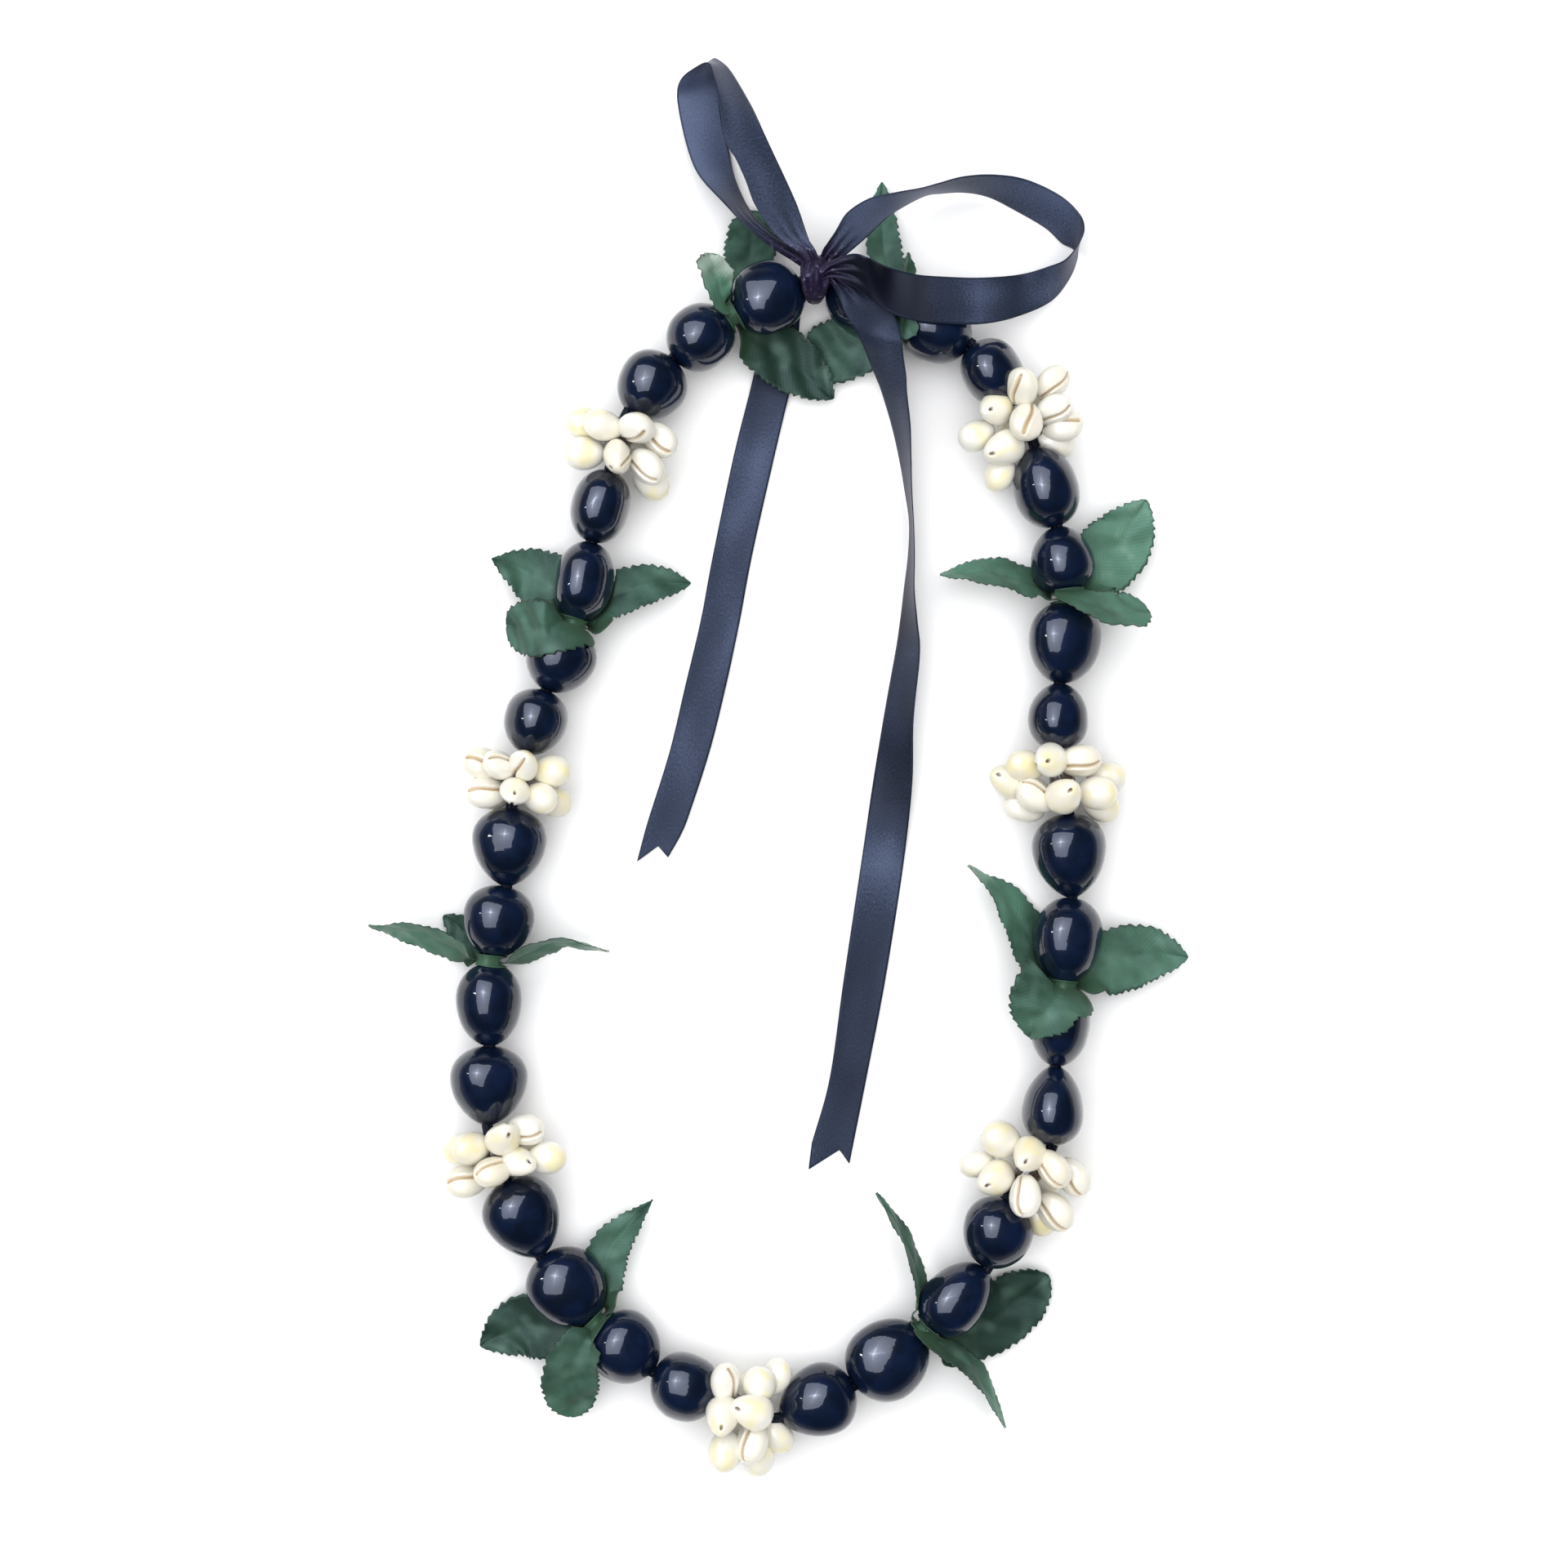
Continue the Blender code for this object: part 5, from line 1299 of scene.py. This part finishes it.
def knot_rings():
    """Rings of the knot: its outline times sin(pi v) to the 0.6, times 1 + folds that lean with v."""
    right = np.array(KNOT_OUTLINE)
    outline = np.concatenate((right, right[:0:-1] * (-1, 1)))
    smooth = evenly(through(np.concatenate((outline, outline[:1])), steps=16), KNOT_COLUMNS + 1)[:-1]
    around = np.linspace(0, 2 * np.pi, KNOT_COLUMNS, endpoint=False)
    v = np.linspace(0.03, 0.97, KNOT_ROWS)[:, None]
    share = np.sin(np.pi * v) ** 0.6
    lean = 0.9 * (v - 0.5)
    folds = 0.12 * np.abs(np.sin(4.5 * (around + lean))) + 0.06 * np.sin(11 * (around - 0.6 * lean))
    size = share * (0.86 + folds * (0.5 + 0.5 * share))
    along = KNOT_HALF_LENGTH * np.cos(np.pi * v) * (1 + 0 * around)
    return np.stack((smooth[:, 0] * size, along, smooth[:, 1] * size), axis=-1) + KNOT_CENTRE


rings = knot_rings()[::-1]
points, faces = closed_body(rings)
uv = cloth_places(rings, KNOT_CLOTH_LENGTH)
# The whole knot is gathered, so it is all in painted fold shade, with a painted lustre.
marks = {"gather": np.ones(len(points)), "lustre": np.full(len(points), KNOT_PAINTED_LUSTRE)}
knot = make_piece(
    "knot_of_the_bow", points, faces, ribbon_finish, ["bow_knot"], uv=uv, marks=marks
)
print("the knot is", np.ptp(points, axis=0).round(1), "mm wide, long and high")

# %% Make the loops and the tails
LOOP_RIPPLE = 0.25
TAIL_RIPPLE = 0.12

ribbon_piece(
    "loop_of_ribbon_left", "loop_left", LOOP_LEFT, LOOP_RIPPLE
)
ribbon_piece("loop_of_ribbon_right", "loop_right", LOOP_RIGHT, LOOP_RIPPLE)
ribbon_piece("tail_of_ribbon_left", "tail_left", TAIL_LEFT, TAIL_RIPPLE, tips=TAIL_LEFT_TIPS)
ribbon_piece(
    "tail_of_ribbon_right", "tail_right", TAIL_RIGHT, TAIL_RIPPLE, tips=TAIL_RIGHT_TIPS
)

# %% [markdown]
# ## Table and light
#
# The lei lies on plain white card under a large soft light, which the polished nuts show as a grey-blue
# window with a bright star in it, where its lamp is. One light can't be that wide for even white card and
# that small in the nuts, so there are two in its place: the wide one lights matt things and isn't seen in
# gloss, and the small one is seen only in gloss. The room is dim overhead and pale low down, which gives
# the nuts their paler rims. Card, lights and room aren't part of the lei.

# %% Floor
CARD_HALF = 2.5


def white_card():
    """Matt white card with clouds about 40 mm wide, hardly lighter and darker."""
    made, shader, add = new_material("white card, matt", Roughness=0.85, IOR=1.45)
    place = add("TexCoord", out="Object")
    clouds = add("TexNoise", {"Vector": place, "Scale": 25.0, "Detail": 2.0})
    hues = {0: clouds, 6: linear("#f4f4f5"), 7: linear("#f8f8f8")}
    link(shader, Base_Color=add("Mix", hues, out=2, data_type="RGBA"))
    return made


corners = [(x * CARD_HALF, y * CARD_HALF, 0) for x, y in ((-1, -1), (1, -1), (1, 1), (-1, 1))]
floor_mesh = bpy.data.meshes.new("card")
floor_mesh.from_pydata(corners, [], [(0, 1, 2, 3)])
floor_mesh.materials.append(white_card())
floor = bpy.data.objects.new("card", floor_mesh)
bpy.context.scene.collection.objects.link(floor)
print("card is", 2 * CARD_HALF, "m wide")

# %% Lights


def soft_light(name, place, aim, size, radiance, colour):
    """A rectangular light: its power is its radiance times pi times its area, in metres."""
    light = bpy.data.lights.new(name, "AREA")
    light.shape = "RECTANGLE"
    light.size, light.size_y = size
    light.energy = radiance * np.pi * size[0] * size[1]
    light.color = linear(colour)[:3]
    made = bpy.data.objects.new(name, light)
    back = unit(np.array(place, float) - aim)
    across = unit(np.cross((0, 1, 0), back))
    turned = np.eye(4)
    turned[:3, :3] = np.stack((across, np.cross(back, across), back), axis=1)
    turned[:3, 3] = place
    made.matrix_world = Matrix(turned.tolist())
    bpy.context.scene.collection.objects.link(made)
    return made


def softbox_cloth(light):
    """Radiance over a softbox, x and y from -1 to 1: a base, a glow (1 - r) squared, and a four-rayed star.

    The star is (1 - r) cubed / (1 + 500 |x y|), and the cloth narrows towards its near end.
    """
    light.use_nodes = True
    add = partial(add_node, light.node_tree)
    place = add("NewGeometry", out="Parametric")
    spread = add("VectorMath", {0: place, 1: (2, 2, 0), 2: (-1, -1, 0)}, operation="MULTIPLY_ADD")
    r = add("VectorMath", {0: spread}, out="Value", operation="LENGTH")
    to_side, to_end = (add("SeparateXYZ", {"Vector": spread}, out=axis) for axis in "XY")
    x, y = (add("Math", {0: part}, operation="ABSOLUTE") for part in (to_side, to_end))
    fall = add("Math", {0: 1.0, 1: r}, operation="SUBTRACT", use_clamp=True)
    glow, core = (add("Math", {0: fall, 1: power}, operation="POWER") for power in (2.0, 3.0))
    product = add("Math", {0: x, 1: y}, operation="MULTIPLY")
    narrow = add("Math", {0: product, 1: 500.0, 2: 1.0}, operation="MULTIPLY_ADD")
    star = add("Math", {0: core, 1: narrow}, operation="DIVIDE")
    even = add("Math", {0: glow, 1: 0.8, 2: 0.8}, operation="MULTIPLY_ADD")
    lit = add("Math", {0: star, 1: 4.0, 2: even}, operation="MULTIPLY_ADD")
    edge = add("Math", {0: to_end, 1: 0.2, 2: 0.8}, operation="MULTIPLY_ADD")
    inside = add("Math", {0: x, 1: edge}, operation="LESS_THAN")
    shaped = add("Math", {0: lit, 1: inside}, operation="MULTIPLY")
    light.node_tree.links.new(shaped, light.node_tree.nodes["Emission"].inputs["Strength"])


ABOVE = (-0.15, 0.2, 1.25)
AIM = (0.0, -0.03, 0.0)
shining = soft_light("softbox, its light on matt things", ABOVE, AIM, (3.4, 3.4), 2.2, "#ffffff")
shining.visible_glossy = False
mirrored = soft_light("softbox, as gloss shows it", (-0.55, 0.3, 1.2), AIM, (1.75, 2.05), 4.6, "#e2eaff")
mirrored.visible_diffuse = False
softbox_cloth(mirrored.data)
lamp = soft_light("lamp beside it, as gloss shows it", (-1.5, 0.25, 1.0), AIM, (0.2, 0.06), 30.0, "#ffffff")
lamp.visible_diffuse = False

# %% Room
world = bpy.data.worlds.new("dim room")
bpy.context.scene.world = world
world.use_nodes = True
room = partial(add_node, world.node_tree)
direction = room("TexCoord", out="Generated")
height = room("SeparateXYZ", {"Vector": direction}, out="Z")
walls = room("ValToRGB", {"Fac": height}, stops=((0.05, "#a2a2a4"), (0.32, "#1d1d1f")))
world.node_tree.links.new(walls, world.node_tree.nodes["Background"].inputs["Color"])

# Colours are shown as they are, with no film curve, so white card can come out white.
bpy.context.scene.view_settings.view_transform = "Standard"
print("room:", world.name)
